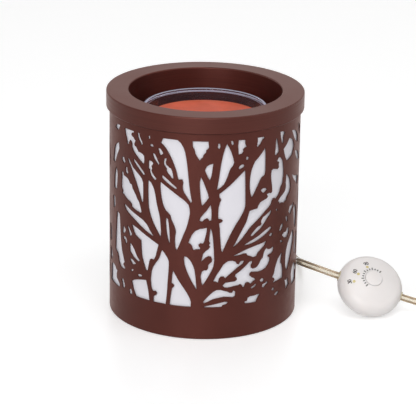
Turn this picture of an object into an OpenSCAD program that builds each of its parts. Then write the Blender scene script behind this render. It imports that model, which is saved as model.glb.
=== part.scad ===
// Electric wax warmer: a round body with a cut-out metal sleeve over a white
// diffuser, a heated well with a loose clear cup of wax, and a flat twin cord
// with a timer pod, a tied coil and a plug. Millimetres, +Z up, front is -Y,
// origin at the middle of the base on the table.

/* [Body] */
// Outer diameter of the top rim
rim_d = 120; // [119:1:126]
// Outer diameter of the metal sleeve
sleeve_d = 116; // [112:1:116]
// Height of the top face above the table
body_h = 140; // [136:1:160]
// Height of the rim's outer skirt
rim_h = 10.5; // [9:0.5:14]
// Diameter of the well at its mouth
well_d = 93; // [90:1:94]
// Depth of the well below the top face
well_depth = 32; // [30:1:36]
// Thickness of the sleeve's sheet metal
sheet = 0.8; // [0.6:0.1:1]

/* [Cut-outs] */
// Height of the solid band at the foot of the sleeve
band_low = 21; // [19:1:26]
// Solid band left between the cut-outs and the rim's skirt
band_high = 4.5; // [3:0.5:10]

/* [Cup] */
// Outer diameter of the cup at its rim
cup_d = 75.6; // [70:0.2:78]
// Height of the cup
cup_h = 21.2; // [18:0.2:24]
// Wall thickness of the cup
cup_wall = 1.5; // [1.2:0.1:2.5]
// Height of the wax above the inside of the cup's floor
wax_h = 12.5; // [3:0.5:14]

/* [Timer pod] */
// Diameter of the pod
pod_d = 41; // [38:0.5:44]
// Height of the pod's face above its parting line
pod_face = 10; // [9.5:0.1:10.5]
// Radius of the pod's round shoulder
pod_shoulder = 7.5; // [7:0.1:8]
// Depth of the pod's lower shell, which is also the radius of its round side
pod_depth = 9; // [8.5:0.1:9.5]
// Lean of the pod's face away from level
pod_lean = 38; // [0:1:45]
// Turn of the leaning face towards the right
pod_turn = 17; // [-20:1:30]
// Turn of the cord's way through the pod
pod_cord_turn = -28; // [-40:1:0]
// Diameter of the timer button
button_d = 10.4; // [9:0.2:11]
// Travel of the timer button
button_travel = 0.6; // [0.4:0.1:0.6]

/* [Cord] */
// Width of the flat twin cord, which stands on edge
cord_w = 4.6; // [4.2:0.1:5]
// Thickness of the flat twin cord
cord_t = 2.4; // [2:0.1:2.6]
// Radius of the coil's outermost turn
coil_r = 38; // [36:0.5:42]
// Turns in the coil, in two layers
coil_turns = 7.25; // [5.25:1:7.25]
// Distance between neighbouring turns of one layer
coil_pitch = 3.3; // [3.2:0.1:3.6]

/* [Hidden] */
$fn = 96;

brown = "#5b342d";
dark_brown = "#3f2722";
white_plastic = "#ece9ef";
frosted = "#e6e3ec";
clear_gold = "#d9c9a0";
steel = "#b9bcc0";

// Heights
table_gap = 0.4;
sleeve_top = body_h - rim_h + 1.5;
skirt_low = body_h - rim_h;
seat_z = table_gap + sheet;
tray_floor = 2.5;
tray_top = seat_z + tray_floor;
well_floor = body_h - well_depth;
ledge_t = 2.5;
ledge_low = well_floor - ledge_t;

// Radii
rim_r = rim_d / 2;
sleeve_r = sleeve_d / 2;
sleeve_in = sleeve_r - sheet;
diffuser_t = 0.7;
diffuser_r = sleeve_in - 0.2;
diffuser_in = diffuser_r - diffuser_t;
well_r = well_d / 2;
well_low_r = well_r - 2.8;
plate_hole_r = 33.2;
plate_r = 35.8;
tie_r = 40;
tie_angles = [30, 150, 270];
clamp_x = 40;

// Heater stack, from the ledge down
plate_low = ledge_low - 3;
ptc_size = [34, 20, 5];
ptc_low = plate_low - ptc_size[2];
mica_t = 0.5;
mica_margin = 2;
mica_low = ptc_low - mica_t;
strip_t = 1.2;
strip_w = 12;
strip_low = mica_low - strip_t;
ear_top = strip_low + 4.2;
fuse_r = 1.7;
fuse_at = [0, 16, plate_low - fuse_r];

// Base
foot_r = 5;
foot_ring = 46;
foot_sink = 0.8;
foot_bevel = 0.6;
tray_wall_r = diffuser_in - 0.1;
tray_wall_in = tray_wall_r - 1.9;
tray_wall_top = 17;
tie_head_h = 1.7;
tie_shank_r = 1.5;
tie_head_r = 3;
board_r = 24;
board_ring = 18;
board_angles = [90, 210, 330];
board_low = 14.5;
board_t = 1.6;
board_top = board_low + board_t;
block_size = [18, 10, 10];
block_at = [-20, 28, tray_top];
block_top = tray_top + block_size[2];
grip_y = 43;
grip_x = 7.5;

// Gland at the back
gland_z = 11;
gland_r = 5;
gland_out = 82;
gland_in = 51.5;
grip_low = gland_z + cord_w / 2;

// Timer pod: its middle lies on the parting plane, and it rests on its round side
pod_r = pod_d / 2;
pod_wall = 1.6;
pod_side_x = pod_r - pod_depth;
pod_z = pod_depth + pod_side_x * sin(pod_lean);
pod_at = [104, -8, pod_z];
button_gap = 0.25;
button_rise = 0.3;
button_flange = 1.3;
pod_post_y = 12.5;
pod_post_r = 2.4;
pod_low_post_r = 2.8;
pod_shank_r = 1;
pod_head_r = 2;
pod_head_seat = -6.4;
pod_board_low = 1.2;
pod_board_t = 1.2;
pod_board_top = pod_board_low + pod_board_t;
lens_places = [[-11.1, -5.8, 0], [-9.8, 0, 0], [-5.6, 6.9, 0]];
lens_r = 0.9;
bush_r = 3.3;
bush_len = 4.8;
bush_gap = 0.3;
bush_notch = 2;
flange_top = 7.5;
flange_low = 6.7;
plunger_r = 1.7;
plunger_h = 1.5;
switch_w = 6;
switch_h = flange_low - pod_board_top - button_travel - 0.3;
switch_floor = 1.8;
led_top = 4.4;
led_w = 1.6;
pod_board_r = 15.2;

// Cord routes, chosen by hand: middle of the cord from the gland to the pod,
// and from the pod to the coil; the ends come from the pod and the coil
lead_route = [
  [0, 92, 11], [1.5, 102, 8.8], [6, 111, 5.2], [14, 118, 3.2], [24, 121, 2.6],
  [34.5, 119, 2.6], [43.5, 113.5, 2.6], [50, 105, 2.6], [54, 95, 2.6], [57.2, 85, 2.6],
  [60.4, 75.5, 2.6], [63.2, 66, 3.4], [64.8, 56.5, 6], [64.4, 46.5, 9.9], [62.4, 36.5, 14.3],
  [60.1, 26, 19], [59.2, 16.5, 22.8], [61, 7.5, 25.5], [65.4, 1.1, 26.2], [71.7, -3.4, 25.6]
];
tail_route = [
  [138.6, -11.4, 6], [149, -12.2, 4.2], [159.5, -12.3, 3.2], [169.5, -12, 3]
];

// Coil and plug
coil_at = [185, 26];
coil_low = cord_w / 2 + 0.7;
coil_layer = cord_w + 0.6;
coil_steps = 24;
coil_end = [coil_at[0] + coil_r, coil_at[1] + cord_w, coil_low + coil_layer];
tie_w = 8;
tie_t = 0.5;

// Cut-outs of one tree: the gaps between its branches and leaves, drawn by hand. A point
// is [distance round the sleeve, height], on a sleeve of this radius with the cut-outs'
// zone between these heights.
drawn_r = 58;
drawn_low = 21;
drawn_high = 124.5;
trees = 2;
cutouts = [
  [[-17.7, 43], [-15.3, 38.7], [-12.3, 34.2], [-9.3, 29.9], [-7.5, 26.5], [-6.8, 24.3], [-6.8, 21],
    [-19.7, 21], [-19.3, 25.3], [-18.8, 29.2], [-18.3, 31.9], [-17.2, 33], [-16.9, 34], [-17.7, 34.8],
    [-18.6, 35.2], [-18.5, 37.7], [-18.2, 40.7]],
  [[-24.9, 55.1], [-23.3, 53.2], [-21.6, 50.9], [-20.7, 48.8], [-20.6, 46.7], [-20.9, 40.7],
    [-21.3, 35.3], [-21.7, 28], [-22.4, 21], [-30.4, 21], [-30.4, 23.9], [-29.9, 25], [-28.5, 25.9],
    [-28.1, 27.1], [-28.9, 28.3], [-30.8, 27.9], [-31.7, 29.2], [-32.2, 31.3], [-32.5, 34.5],
    [-32.3, 38], [-31.9, 40.7], [-31, 43.2], [-29.3, 46], [-27.6, 48.3], [-26.5, 50.5], [-25.9, 52.8]],
  [[-47.7, 30], [-45, 31.5], [-41, 32.7], [-36.2, 33.6], [-35.2, 30.4], [-34.3, 26], [-33.6, 21],
    [-43.6, 21], [-45.4, 24], [-46.6, 27]],
  [[-47.8, 66.1], [-44, 65.2], [-39.3, 63.3], [-34, 61], [-30, 59.2], [-27.5, 58], [-28, 56],
    [-28.8, 53], [-29.3, 50.7], [-30.1, 48.9], [-30.9, 47.9], [-32, 48.3], [-33.2, 47.7], [-33.9, 46],
    [-34.4, 43.3], [-34.9, 40.1], [-36, 40.1], [-37.2, 43], [-38.7, 47], [-39.4, 50.7], [-39.7, 54.3],
    [-39.9, 58.1], [-42, 59.1], [-44.4, 60.3], [-45.7, 62.1], [-46.9, 64.3]],
  [[-49.5, 54.1], [-47.7, 52.8], [-45.6, 50.5], [-44.5, 48.5], [-43.1, 46.5], [-41.1, 44.7],
    [-42, 44.1], [-44.1, 44.7], [-46.3, 46], [-48.1, 47.6], [-49.3, 48.9], [-49.5, 51.3]],
  [[-49.2, 44.1], [-47.7, 43.9], [-46, 43], [-44.3, 42], [-45.7, 41.2], [-47.2, 40.9], [-48, 42],
    [-48.9, 42.7]],
  [[-48.5, 36.7], [-47.7, 37.6], [-46.5, 37.5], [-47.1, 36.5], [-48, 35.9]],
  [[-42.5, 35.2], [-41.7, 36.1], [-40.3, 36.1], [-39.1, 35.7], [-40, 34.9], [-41.5, 34.6]],
  [[-55.4, 77], [-48, 74.4], [-42, 72.4], [-38.4, 71], [-35.9, 69.2], [-33.6, 66], [-31, 62.7],
    [-35, 64.4], [-39, 66.4], [-46.5, 70.4], [-53.2, 73.8]],
  [[-22.4, 76], [-21.4, 75], [-20.9, 72], [-20.5, 68], [-20.2, 64], [-20.1, 60], [-21, 62.4],
    [-21.8, 66], [-22.3, 70], [-22.6, 74]],
  [[-11.2, 53], [-9.6, 52.6], [-7.6, 50.8], [-5.6, 47], [-4.6, 43], [-4, 38], [-3.5, 32.4], [-6, 36.6],
    [-8.6, 42], [-10.7, 47.6]],
  [[2.1, 71.6], [2, 69.3], [1.3, 66], [0.7, 63.3], [0, 61.7], [-1.7, 61.9], [-2.8, 60.8], [-2.5, 59.6],
    [-1.6, 58.8], [-2.1, 58], [-4.1, 57.9], [-5.7, 57.5], [-6.4, 59.7], [-7.2, 61], [-8.6, 61.8],
    [-7.9, 64], [-6.7, 66.8], [-4.8, 69.3], [-2, 70.7], [1, 71.2]],
  [[-56.4, 62.8], [-55.3, 62], [-54.1, 60.5], [-54.8, 58.9], [-56.3, 58.1], [-57, 58.8], [-56.5, 60.8]],
  [[-56.4, 55.5], [-55.1, 56.5], [-53.6, 55.7], [-52.8, 54], [-52.9, 52], [-53.9, 52.8], [-54.7, 54.3],
    [-55.9, 54.5]],
  [[-52.3, 64.3], [-50.7, 63.3], [-49.3, 61.5], [-48.1, 59.9], [-48.7, 58.3], [-49.9, 58.7],
    [-50.3, 60.4], [-51.3, 62.1]],
  [[-64.4, 69.6], [-61.4, 68.6], [-60.8, 64], [-60.5, 60.7], [-60, 55.3], [-59.3, 50.7], [-58.3, 46.7],
    [-57, 43.3], [-55.9, 40.7], [-55.3, 39.5], [-56.5, 38.7], [-56.8, 37.5], [-55.7, 36.7],
    [-54.7, 36.1], [-55.3, 35.1], [-57.7, 35.2], [-59.3, 35.7], [-60.7, 37], [-61.7, 38.7], [-63.4, 43],
    [-65, 43.6], [-66.6, 45], [-66.2, 51], [-65.8, 57], [-65, 64]],
  [[-58.3, 27.7], [-57.2, 28.7], [-56.3, 27.5], [-55.3, 25.6], [-54.9, 24], [-55.7, 22.6],
    [-56.7, 23.2], [-57.2, 25.3]],
  [[-49.9, 23.9], [-48.7, 24.4], [-47.7, 22.5], [-47.9, 21], [-49.5, 21]],
  [[-55.3, 124.5], [-46.6, 124.5], [-46.8, 123.6], [-48.3, 123.2], [-48.9, 122.1], [-48.1, 121.1],
    [-46.9, 120.7], [-46, 119.6], [-45.1, 119.1], [-45.6, 118], [-46.3, 117.2], [-46, 116],
    [-44.5, 115.3], [-43.5, 114.1], [-42.7, 112.9], [-40.9, 112.7], [-39.2, 112.1], [-38.2, 111.2],
    [-38, 108.7], [-38.3, 106.1], [-39.5, 106.7], [-42, 108.5], [-44.5, 110.3], [-46.1, 111.7],
    [-47.2, 113.2], [-48.1, 114.7], [-48.2, 116.7], [-48.9, 118], [-50, 118.3], [-50.9, 117.3],
    [-51.2, 115.6], [-52.1, 115.2], [-52.7, 116], [-53.1, 118.1], [-53.7, 119.7], [-54.5, 120.8],
    [-54.9, 122.8]],
  [[-43.1, 124.5], [-42, 124.5], [-41.6, 122.7], [-40.8, 121.2], [-39.7, 119.6], [-39.3, 118.3],
    [-39.9, 117.7], [-40.9, 119.3], [-42, 120.8], [-42.7, 122.3]],
  [[-34.7, 124.3], [-34, 124.5], [-33.7, 123.3], [-34.1, 122.5], [-34.7, 123.1]],
  [[-33.7, 118.9], [-32.7, 119.8], [-31.9, 119.5], [-31.4, 118.5], [-32.7, 118.2]],
  [[-28.1, 117.9], [-26.8, 117.9], [-25.5, 116.5], [-24.9, 115.2], [-26.3, 113.9], [-27.1, 115],
    [-27.4, 116.5]],
  [[-31.6, 114.3], [-30.5, 114.1], [-29.4, 112.4], [-28.5, 110.5], [-27.5, 108.9], [-27.6, 107.7],
    [-28.7, 108.9], [-29.8, 110.3], [-31, 112]],
  [[-34.3, 109.5], [-32.7, 109.1], [-31.5, 108.3], [-31.9, 107.1], [-32.8, 106.3], [-32.3, 104.9],
    [-32.7, 103.5], [-32.1, 102], [-30.9, 100.7], [-29.3, 99], [-30, 98], [-31.5, 99.1], [-32.7, 100.5],
    [-33.5, 102.5], [-33.7, 104.1], [-34.5, 104.8], [-34.5, 107.3]],
  [[-23.9, 112.3], [-22.7, 112.5], [-22.9, 111.1], [-23.3, 110], [-22.7, 108.5], [-21.7, 108],
    [-20.9, 107.1], [-19.9, 106.8], [-19.1, 105.2], [-18.6, 103], [-18.2, 100.8], [-19.2, 100.9],
    [-20.4, 102.5], [-21.7, 103.7], [-22.5, 105.2], [-22.3, 106.4], [-23.3, 107.6], [-24.2, 109.1],
    [-24.2, 110.8]],
  [[-24.9, 124.5], [-16, 124.5], [-14, 122.9], [-12.4, 120.4], [-11.3, 117.3], [-10.7, 114],
    [-10, 109.7], [-9.4, 104], [-8.9, 99.3], [-8.3, 94.7], [-7.5, 90], [-7, 87.7], [-7.5, 86.7],
    [-8.7, 88.5], [-10.1, 90.7], [-11.5, 92.7], [-12.3, 94.7], [-12.4, 96.7], [-12.1, 99],
    [-12.7, 100.8], [-13.9, 100.8], [-15.1, 100.4], [-15.6, 102.3], [-16.3, 105.2], [-17.5, 108.5],
    [-18.8, 111.6], [-20.7, 115.3], [-22.5, 118.1], [-24.5, 120.3], [-26.3, 121.7]],
  [[-25.3, 102], [-23.3, 100.7], [-21.2, 99.2], [-18.9, 97.3], [-16.5, 95.5], [-16, 94.6],
    [-17.2, 94.7], [-19.3, 95.9], [-21.7, 97.5], [-24, 99.2], [-25.3, 100.5]],
  [[-26.4, 97.6], [-22.7, 95.2], [-18.7, 92.7], [-14.7, 90], [-11.3, 87.7], [-9, 85.5], [-8.3, 83],
    [-8.1, 80], [-8.7, 76.7], [-9.4, 73.4], [-10.4, 70], [-12, 66], [-13.7, 61.3], [-15, 58],
    [-15.7, 56.5], [-16.5, 58], [-16.8, 61.3], [-16.7, 65.3], [-16.3, 67.3], [-16.4, 68.8],
    [-17.2, 71.2], [-18.4, 73.8], [-19.3, 75.4], [-19.7, 77.7], [-21.2, 79.3], [-22.8, 80.5],
    [-23.9, 82.3], [-24.9, 85], [-25.6, 88], [-26.1, 91.3], [-26.4, 94.7]],
  [[-34.7, 97.3], [-32.7, 95.7], [-31, 92.7], [-30, 89.3], [-29.2, 85.2], [-28.3, 81.3], [-27.3, 77.9],
    [-26.6, 74.4], [-26.2, 70], [-25.9, 66], [-25.9, 63.1], [-27.3, 65.3], [-29, 67.9], [-30.7, 70.7],
    [-32.2, 73.8], [-33.3, 76.7], [-34.3, 80], [-34.6, 84.7], [-34.8, 90], [-34.8, 94.7]],
  [[-51.9, 106.5], [-50.8, 106.4], [-48.9, 104], [-46.9, 101.9], [-44.5, 100.3], [-42, 98.7],
    [-39.9, 96.9], [-38.9, 94.7], [-38.7, 90], [-38.7, 85.7], [-38.9, 82], [-39.7, 83.3], [-41.3, 87.3],
    [-43.2, 91.6], [-45.1, 95.3], [-46.9, 98.7], [-48.7, 101.6], [-50.5, 104.3]],
  [[-46.6, 107.7], [-45.3, 107], [-43.2, 105.5], [-40.9, 103.5], [-38.6, 101.5], [-37.6, 100.1],
    [-38.5, 99.5], [-40.3, 101], [-42.4, 102.9], [-44.5, 104.6], [-46, 106]],
  [[-58.1, 105.3], [-57.1, 106.2], [-56, 105.7], [-55.5, 104.5], [-54.7, 103.5], [-55.7, 102.6],
    [-57.1, 103.3]],
  [[-53.8, 100.9], [-52.8, 100.5], [-52.6, 99.2], [-51.7, 97.7], [-52.1, 96.7], [-53.3, 97],
    [-54.1, 98.3]],
  [[-58, 96.9], [-57.1, 96.4], [-56.4, 94.7], [-52.7, 94], [-51.2, 92.9], [-49.9, 91.3], [-48.3, 91],
    [-47.6, 88.9], [-46.1, 87.1], [-44.8, 85.7], [-43.6, 83.6], [-41.9, 81.7], [-40.9, 79.1],
    [-39.9, 76.1], [-40.8, 75.3], [-43.3, 75.9], [-45.6, 76.5], [-47.7, 77.3], [-48, 78.9], [-49.6, 80],
    [-52, 80.7], [-53.7, 81.5], [-55.6, 82.7], [-57.6, 83.3], [-56.9, 84.8], [-57.7, 85.9],
    [-58.5, 86.8], [-58.3, 90], [-58.1, 93.3], [-58.4, 95.2]],
  [[4.3, 71], [5.1, 69.3], [5.6, 66], [6, 62], [6.4, 57.3], [6.6, 53.3], [6.7, 50.7], [6.3, 47.3],
    [5, 44], [3, 40.3], [1, 36.7], [-0.1, 35.3], [-0.7, 37.7], [-1.1, 40.7], [-0.5, 43.7], [0.7, 44.7],
    [2.3, 44.7], [3.2, 46], [3.2, 47.7], [4.3, 49.2], [5.4, 50], [5.5, 51.8], [4.8, 53.5], [3.3, 53.8],
    [1.3, 52.8], [0.1, 51.3], [-0.9, 50.5], [-0.5, 52.3], [0.1, 55], [1.7, 57], [3.3, 58.1],
    [4.3, 59.7], [3.5, 60.7], [4.3, 61.9], [3.5, 63.2], [3.7, 65.7], [4, 68.7]],
  [[4.1, 85.7], [4.5, 82.7], [4.7, 79], [4.5, 76.3], [3.6, 75.9], [2.9, 77.1], [1.9, 77.6], [0.5, 76.8],
    [-0.7, 75.5], [-2.3, 75.9], [-1.7, 77.7], [0, 80], [1.9, 82.3]],
  [[-1.8, 102.8], [-0.2, 99.4], [1.4, 95.2], [2.9, 90.3], [1.4, 88], [-0.9, 85.2], [-1.5, 88], [-2, 92],
    [-2.4, 97], [-2.3, 100]],
  [[-7, 124.5], [2.2, 124.5], [2.4, 122.7], [2.5, 121], [1.9, 120.1], [1, 119.5], [0.8, 117.9],
    [0, 117.2], [-0.8, 116], [-0.9, 115], [-2, 114.1], [-2.8, 113], [-3.3, 114], [-4.5, 115.9],
    [-5.2, 117], [-5.5, 118.8], [-6.1, 120.1], [-6.8, 121.3]],
  [[8, 123.3], [9, 123.1], [9.2, 121.3], [8.5, 120.1], [7.7, 120.8]],
  [[15.5, 124.5], [16.5, 124.5], [17.1, 123], [16.5, 121.9], [15.8, 122.7]],
  [[13.2, 122.9], [14.7, 120.1], [16, 117.2], [17, 114], [17.6, 111.2], [16.9, 109.3], [15.7, 108],
    [14.9, 106.3], [14, 103.7], [12.8, 100.4], [11.6, 98.1], [9.7, 96.4], [7.6, 94.9], [8.3, 98.7],
    [8.9, 103], [9.5, 107.7], [10.3, 113], [11.3, 117.3], [12.3, 120.7]],
  [[20.3, 124.5], [24.2, 124.5], [24.3, 122.1], [25.1, 120.4], [23.7, 119.6], [22.9, 118.9],
    [23.1, 117.5], [22.4, 116.3], [21.2, 116.1], [20.4, 115.6], [20.2, 118.7], [20, 121.3]],
  [[32.7, 124.5], [37.1, 124.4], [37.3, 123.6], [35.9, 122.9], [35, 121.7], [34.4, 120.4],
    [33.3, 119.7], [32.7, 118.9], [32.3, 119.6], [32.8, 122]],
  [[25.1, 112.9], [25.6, 114.1], [26.6, 113.6], [26.3, 112.2], [25.4, 112.1]],
  [[20.5, 107.5], [21.3, 108.9], [22.7, 109.6], [23.9, 109.2], [23.6, 108], [22.1, 107.2],
    [21.1, 106.8]],
  [[5.2, 111.1], [4.9, 108.8], [4.6, 106], [4.1, 103], [3.3, 101.1], [2.1, 103.2], [1.1, 105.5],
    [0.5, 107.1], [1.5, 109.3], [3.1, 110.5]],
  [[38.2, 117.3], [38.5, 113.7], [38.7, 109.3], [38.7, 104.7], [38.4, 101.2], [37.7, 100.4],
    [36.3, 99.9], [35.1, 98.5], [34, 96.3], [32.4, 93.5], [30.3, 89.5], [29.3, 88.5], [28.6, 91],
    [28.1, 94.3], [28, 98], [28.3, 101.7], [28.9, 105], [30.1, 108.1], [31.3, 110.3], [33.9, 112.5],
    [36.1, 114.8]],
  [[24.5, 105.7], [24.8, 102], [25, 96], [25.2, 88.7], [25.2, 83.3], [24.5, 81], [23.3, 78.7],
    [21.5, 75.6], [19.9, 73.4], [18, 70.1], [16, 66.3], [14, 62], [12.3, 58], [11.5, 56.1],
    [10.9, 57.3], [10.5, 61.3], [10.1, 66], [9.8, 70.7], [9.3, 74.1], [10.7, 74.7], [11.6, 75.7],
    [10.7, 76.7], [8.8, 77.1], [8.7, 80], [8.9, 84], [9.6, 87.1], [10.3, 88.5], [9.9, 89.7],
    [9.2, 90.3], [9.2, 92.3], [12, 94.5], [15.3, 97.2], [18.7, 100.3], [21.7, 103.1]],
  [[18.1, 58.5], [19.7, 61.5], [21.5, 64.8], [23.7, 68.8], [25.3, 71.6], [26.3, 73.4], [27.2, 76.3],
    [28.3, 80], [30.7, 80.4], [33.7, 80.7], [34.3, 82.3], [35.7, 84.1], [38, 84.9], [40.7, 85.7],
    [41.5, 86.7], [40.5, 88.1], [42.3, 88.7], [44.1, 88.1], [44.9, 89], [44.6, 92.7], [44, 96],
    [43.6, 99.5], [43.9, 102.1], [45.2, 103], [47.2, 102.5], [49, 101.9], [50.4, 102.7], [50.1, 104.5],
    [50.4, 106], [49.3, 106.7], [48.5, 107.1], [50, 108.9], [51.3, 108.8], [53.1, 107], [54, 105],
    [54.5, 102], [55, 97.7], [54.4, 94], [53.9, 91.7], [52.3, 90], [51.5, 87.7], [50.1, 85.6],
    [48, 83.9], [46.9, 84.5], [45.6, 84.7], [44.5, 83.3], [43.9, 81.5], [42.3, 79.9], [39.3, 77.9],
    [36, 75.2], [32.7, 72.7], [29.3, 70.1], [26.7, 67.3], [23.3, 63.3], [20.7, 60.7]],
  [[29.3, 64], [30, 65.3], [31.7, 66.9], [33.3, 68.4], [34.8, 69.3], [36.3, 69.5], [37.1, 70.3],
    [36.6, 71.6], [36.9, 72.9], [38, 74.3], [40.1, 75.3], [42.1, 76.3], [44.1, 77.5], [44.3, 76.3],
    [42.8, 74.7], [40.9, 72.8], [39.1, 70.7], [37.9, 69.2], [36, 67.6], [33.3, 65.9], [30.8, 64.1]],
  [[35.9, 91.7], [37.3, 92.5], [39.5, 92.4], [40, 91.3], [38.5, 90.1], [37.5, 89.7], [36.5, 90.7]],
  [[47.3, 121.5], [47.9, 120.7], [48.5, 118.1], [49.2, 115], [49.5, 112.7], [48.4, 111.9],
    [47.6, 111.1], [46.5, 111.5], [46.5, 113], [47, 116], [47, 119]],
  [[51, 124.5], [53.3, 124.4], [55.1, 123.5], [54, 122.1], [53.6, 119.9], [53.9, 118], [53.1, 116.8],
    [52.4, 118.5], [51.6, 120.9]],
  [[61, 118.2], [65.3, 116.3], [67.4, 112], [65.3, 107.4], [61, 105.6], [58.6, 104.8], [57, 107],
    [55.7, 109.9], [54.6, 113], [58, 115.2]],
  [[58.9, 96.3], [60.4, 94.6], [62.4, 92.6], [63.4, 89.6], [64, 86.7], [62.8, 84], [60.3, 82.5],
    [59.3, 81.5], [58.9, 80], [57.3, 79.9], [56.7, 78.9], [55.2, 79.5], [53.3, 80], [52, 79.6],
    [51.7, 80.7], [50.5, 81.5], [52.1, 83.1], [53.7, 84], [55.5, 84.8], [57.3, 85.9], [58.3, 87.5],
    [58.5, 89.5], [58, 90.9], [58.3, 92.8], [58.5, 95]],
  [[48.6, 76.5], [49.2, 77.3], [49.9, 76.4], [49.3, 75.5]],
  [[25, 59], [29.4, 61], [34.6, 63], [39.4, 65.4], [44, 67.2], [44.8, 66], [41.4, 64], [37.4, 62],
    [32.6, 60.2], [27.4, 59]],
  [[43.2, 61.6], [44.4, 62.9], [45.8, 62.6], [45.4, 61.2], [44, 60.9]],
  [[52.6, 62.4], [53.8, 65], [55.4, 66.2], [56, 64.8], [54.6, 62.6], [53.4, 61.6]],
  [[59.2, 68.8], [60.2, 69.8], [61.4, 67.6], [61.2, 65.8], [60.2, 66]],
  [[55.6, 58.4], [57.6, 59.6], [60, 59.4], [61.6, 61.4], [63.4, 61], [63.2, 58], [61, 55.8],
    [58, 56.2]],
  [[53.4, 55.7], [55, 55.5], [56, 54.2], [54.4, 54.1]],
  [[18.2, 53], [22, 54.4], [26, 55.8], [31, 57], [37.4, 58], [41, 58.6], [39, 56], [36.6, 54.2],
    [34.6, 52.8], [33.6, 50.8], [31.6, 50.4], [29.4, 51.4], [27.6, 52.2], [26.6, 53.6], [24.6, 53.8],
    [22, 53.2]],
  [[6.4, 37.6], [8.6, 42], [10.6, 45], [12.4, 48], [15.4, 50], [18, 50], [19.8, 49.2], [20.6, 47.6],
    [22, 47.4], [23.2, 49.2], [25.2, 49.2], [24.4, 47.6], [21.2, 45.6], [18.4, 43.4], [15.4, 41],
    [13.6, 39.4], [12.6, 40.6], [10.8, 40.6], [9.6, 39.2], [9.2, 36.8], [7.8, 37.6]],
  [[12.1, 34.7], [13.7, 36.3], [16.7, 36.6], [19.7, 36.7], [21.1, 37.7], [20.7, 39], [19.7, 40],
    [20.1, 41.1], [22, 42.3], [24.7, 44.2], [27.3, 46.3], [29, 47.9], [30.5, 48.3], [30.7, 47],
    [29.7, 45.5], [30, 43.9], [31.1, 43.1], [33, 43.1], [34.5, 43.7], [36, 45.3], [37, 47.3],
    [38.7, 48.7], [39.2, 51], [40.3, 53.2], [41.5, 54], [42.5, 53], [44.7, 52.8], [47.1, 53.8],
    [46.8, 51.3], [45.5, 50], [43.3, 49.6], [42, 48.8], [43.9, 47.3], [44, 45.3], [42.5, 43.2],
    [40.7, 41.5], [38.3, 40.7], [35.3, 40.5], [32.7, 40.9], [30.3, 41.3], [29.2, 40.7], [29, 39.3],
    [30.7, 37.7], [32.7, 36.7], [33.2, 35.7], [31.7, 35], [30, 33.7], [29, 34.7], [27.7, 35.2],
    [26.3, 34.7], [25.7, 33], [25, 32.1], [24.3, 33.7], [23, 34.7], [21.7, 34], [20, 34], [17.3, 33.5],
    [15, 33.2], [13.3, 33.5]],
  [[47, 33.8], [48.6, 36], [49.4, 39], [50.6, 42], [52, 44.4], [53.8, 46], [55.8, 47.4], [55, 44],
    [54.6, 41], [56, 39.4], [56.8, 37], [57, 34], [57, 31], [53.4, 30.6], [50, 30.4], [47.6, 30],
    [49.4, 31.8], [48.4, 33.2]],
  [[36.8, 34.4], [38.2, 35.6], [39.6, 34.8], [39.4, 33.4], [37.8, 33.2]],
  [[39, 31.4], [41, 31.8], [42.6, 32.8], [42.8, 31.4], [41, 30.4], [39.6, 29.2], [38.6, 29.8]],
  [[30.4, 31], [32, 32], [33.8, 33], [34, 32.2], [32.4, 31], [31, 30.4]],
  [[0.6, 24.6], [2.4, 26.8], [4.6, 29.2], [6.6, 31], [8.6, 32], [10.8, 32], [13, 31.2], [15, 30.6],
    [16.6, 29.6], [18, 29.6], [18.8, 30.8], [20, 30.2], [19.8, 27.4], [18.4, 26.8], [16, 27.2],
    [13, 27.6], [9.6, 27], [6, 26.2], [3, 24.6], [1, 23.8]],
  [[0.6, 21.2], [3, 22], [7, 22.8], [10.6, 23.6], [13.4, 24.2], [15.4, 24], [14.6, 22.8], [12.2, 22.2],
    [11.4, 21], [5, 21]],
  [[26.4, 21.8], [26.4, 22.8], [28, 23], [28.4, 24.8], [30, 25.6], [32.6, 25.4], [35, 25.8], [37, 25.6],
    [35.4, 24.2], [34.4, 22.6], [34, 21.4], [30, 21.4]],
  [[46.6, 25.6], [47.6, 26.9], [48.9, 26.4], [48.2, 25.1]],
  [[49.2, 21.6], [50.6, 22.9], [52.6, 23.4], [53, 22.2], [51, 21.2]],
  [[69.8, 57.6], [71.4, 53.3], [69.3, 47.4], [66, 40], [62.4, 34], [60.6, 37], [60.6, 44.4], [63, 51]],
  [[73, 73], [76.4, 67], [76.4, 60.5], [74.4, 57.6], [72.4, 61], [72, 66], [70.6, 70.5]],
  [[66.4, 94], [71, 91.8], [77, 90.4], [79, 88], [77, 84.6], [72, 88], [68, 91.4]],
  [[64.4, 122], [69, 121], [73.4, 117], [73.8, 112.4], [70, 114.6], [67, 118.4]],
  [[62.8, 71.4], [64.4, 74.4], [67, 74.2], [70, 75.2], [68.8, 73], [67, 71.6], [64.6, 69.2]],
  [[76, 124], [82, 120], [81, 115], [77, 119]],
  [[70, 108], [77, 105.4], [80, 100], [74, 101.6]],
  [[60.4, 28], [62, 27.4], [64, 28.4], [64.4, 26], [65.4, 23.6], [63.4, 23], [62, 21.6], [61.6, 24.6]],
  [[-70.6, 78], [-68, 77.4], [-67.6, 72], [-69.6, 70]],
  [[-66, 97], [-64.4, 93], [-65.4, 83], [-68.6, 83.6], [-68.2, 91]],
  [[-62.4, 113.4], [-61.8, 110], [-65, 105], [-68, 99.6], [-70, 100], [-68.6, 107], [-66, 111.6]],
  [[-66.6, 122.4], [-64, 124.5], [-60.8, 124.5], [-63, 121]],
  [[-74, 32.4], [-71, 33.6], [-68, 33], [-66.6, 31.6], [-64.6, 31], [-65.8, 28.6], [-65.4, 26],
    [-63.4, 25], [-61, 23], [-62, 21], [-75, 21], [-74.4, 27]],
  [[-78.6, 42.6], [-75, 41.6], [-72.8, 38], [-74.4, 34.6], [-78, 36]],
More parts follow.
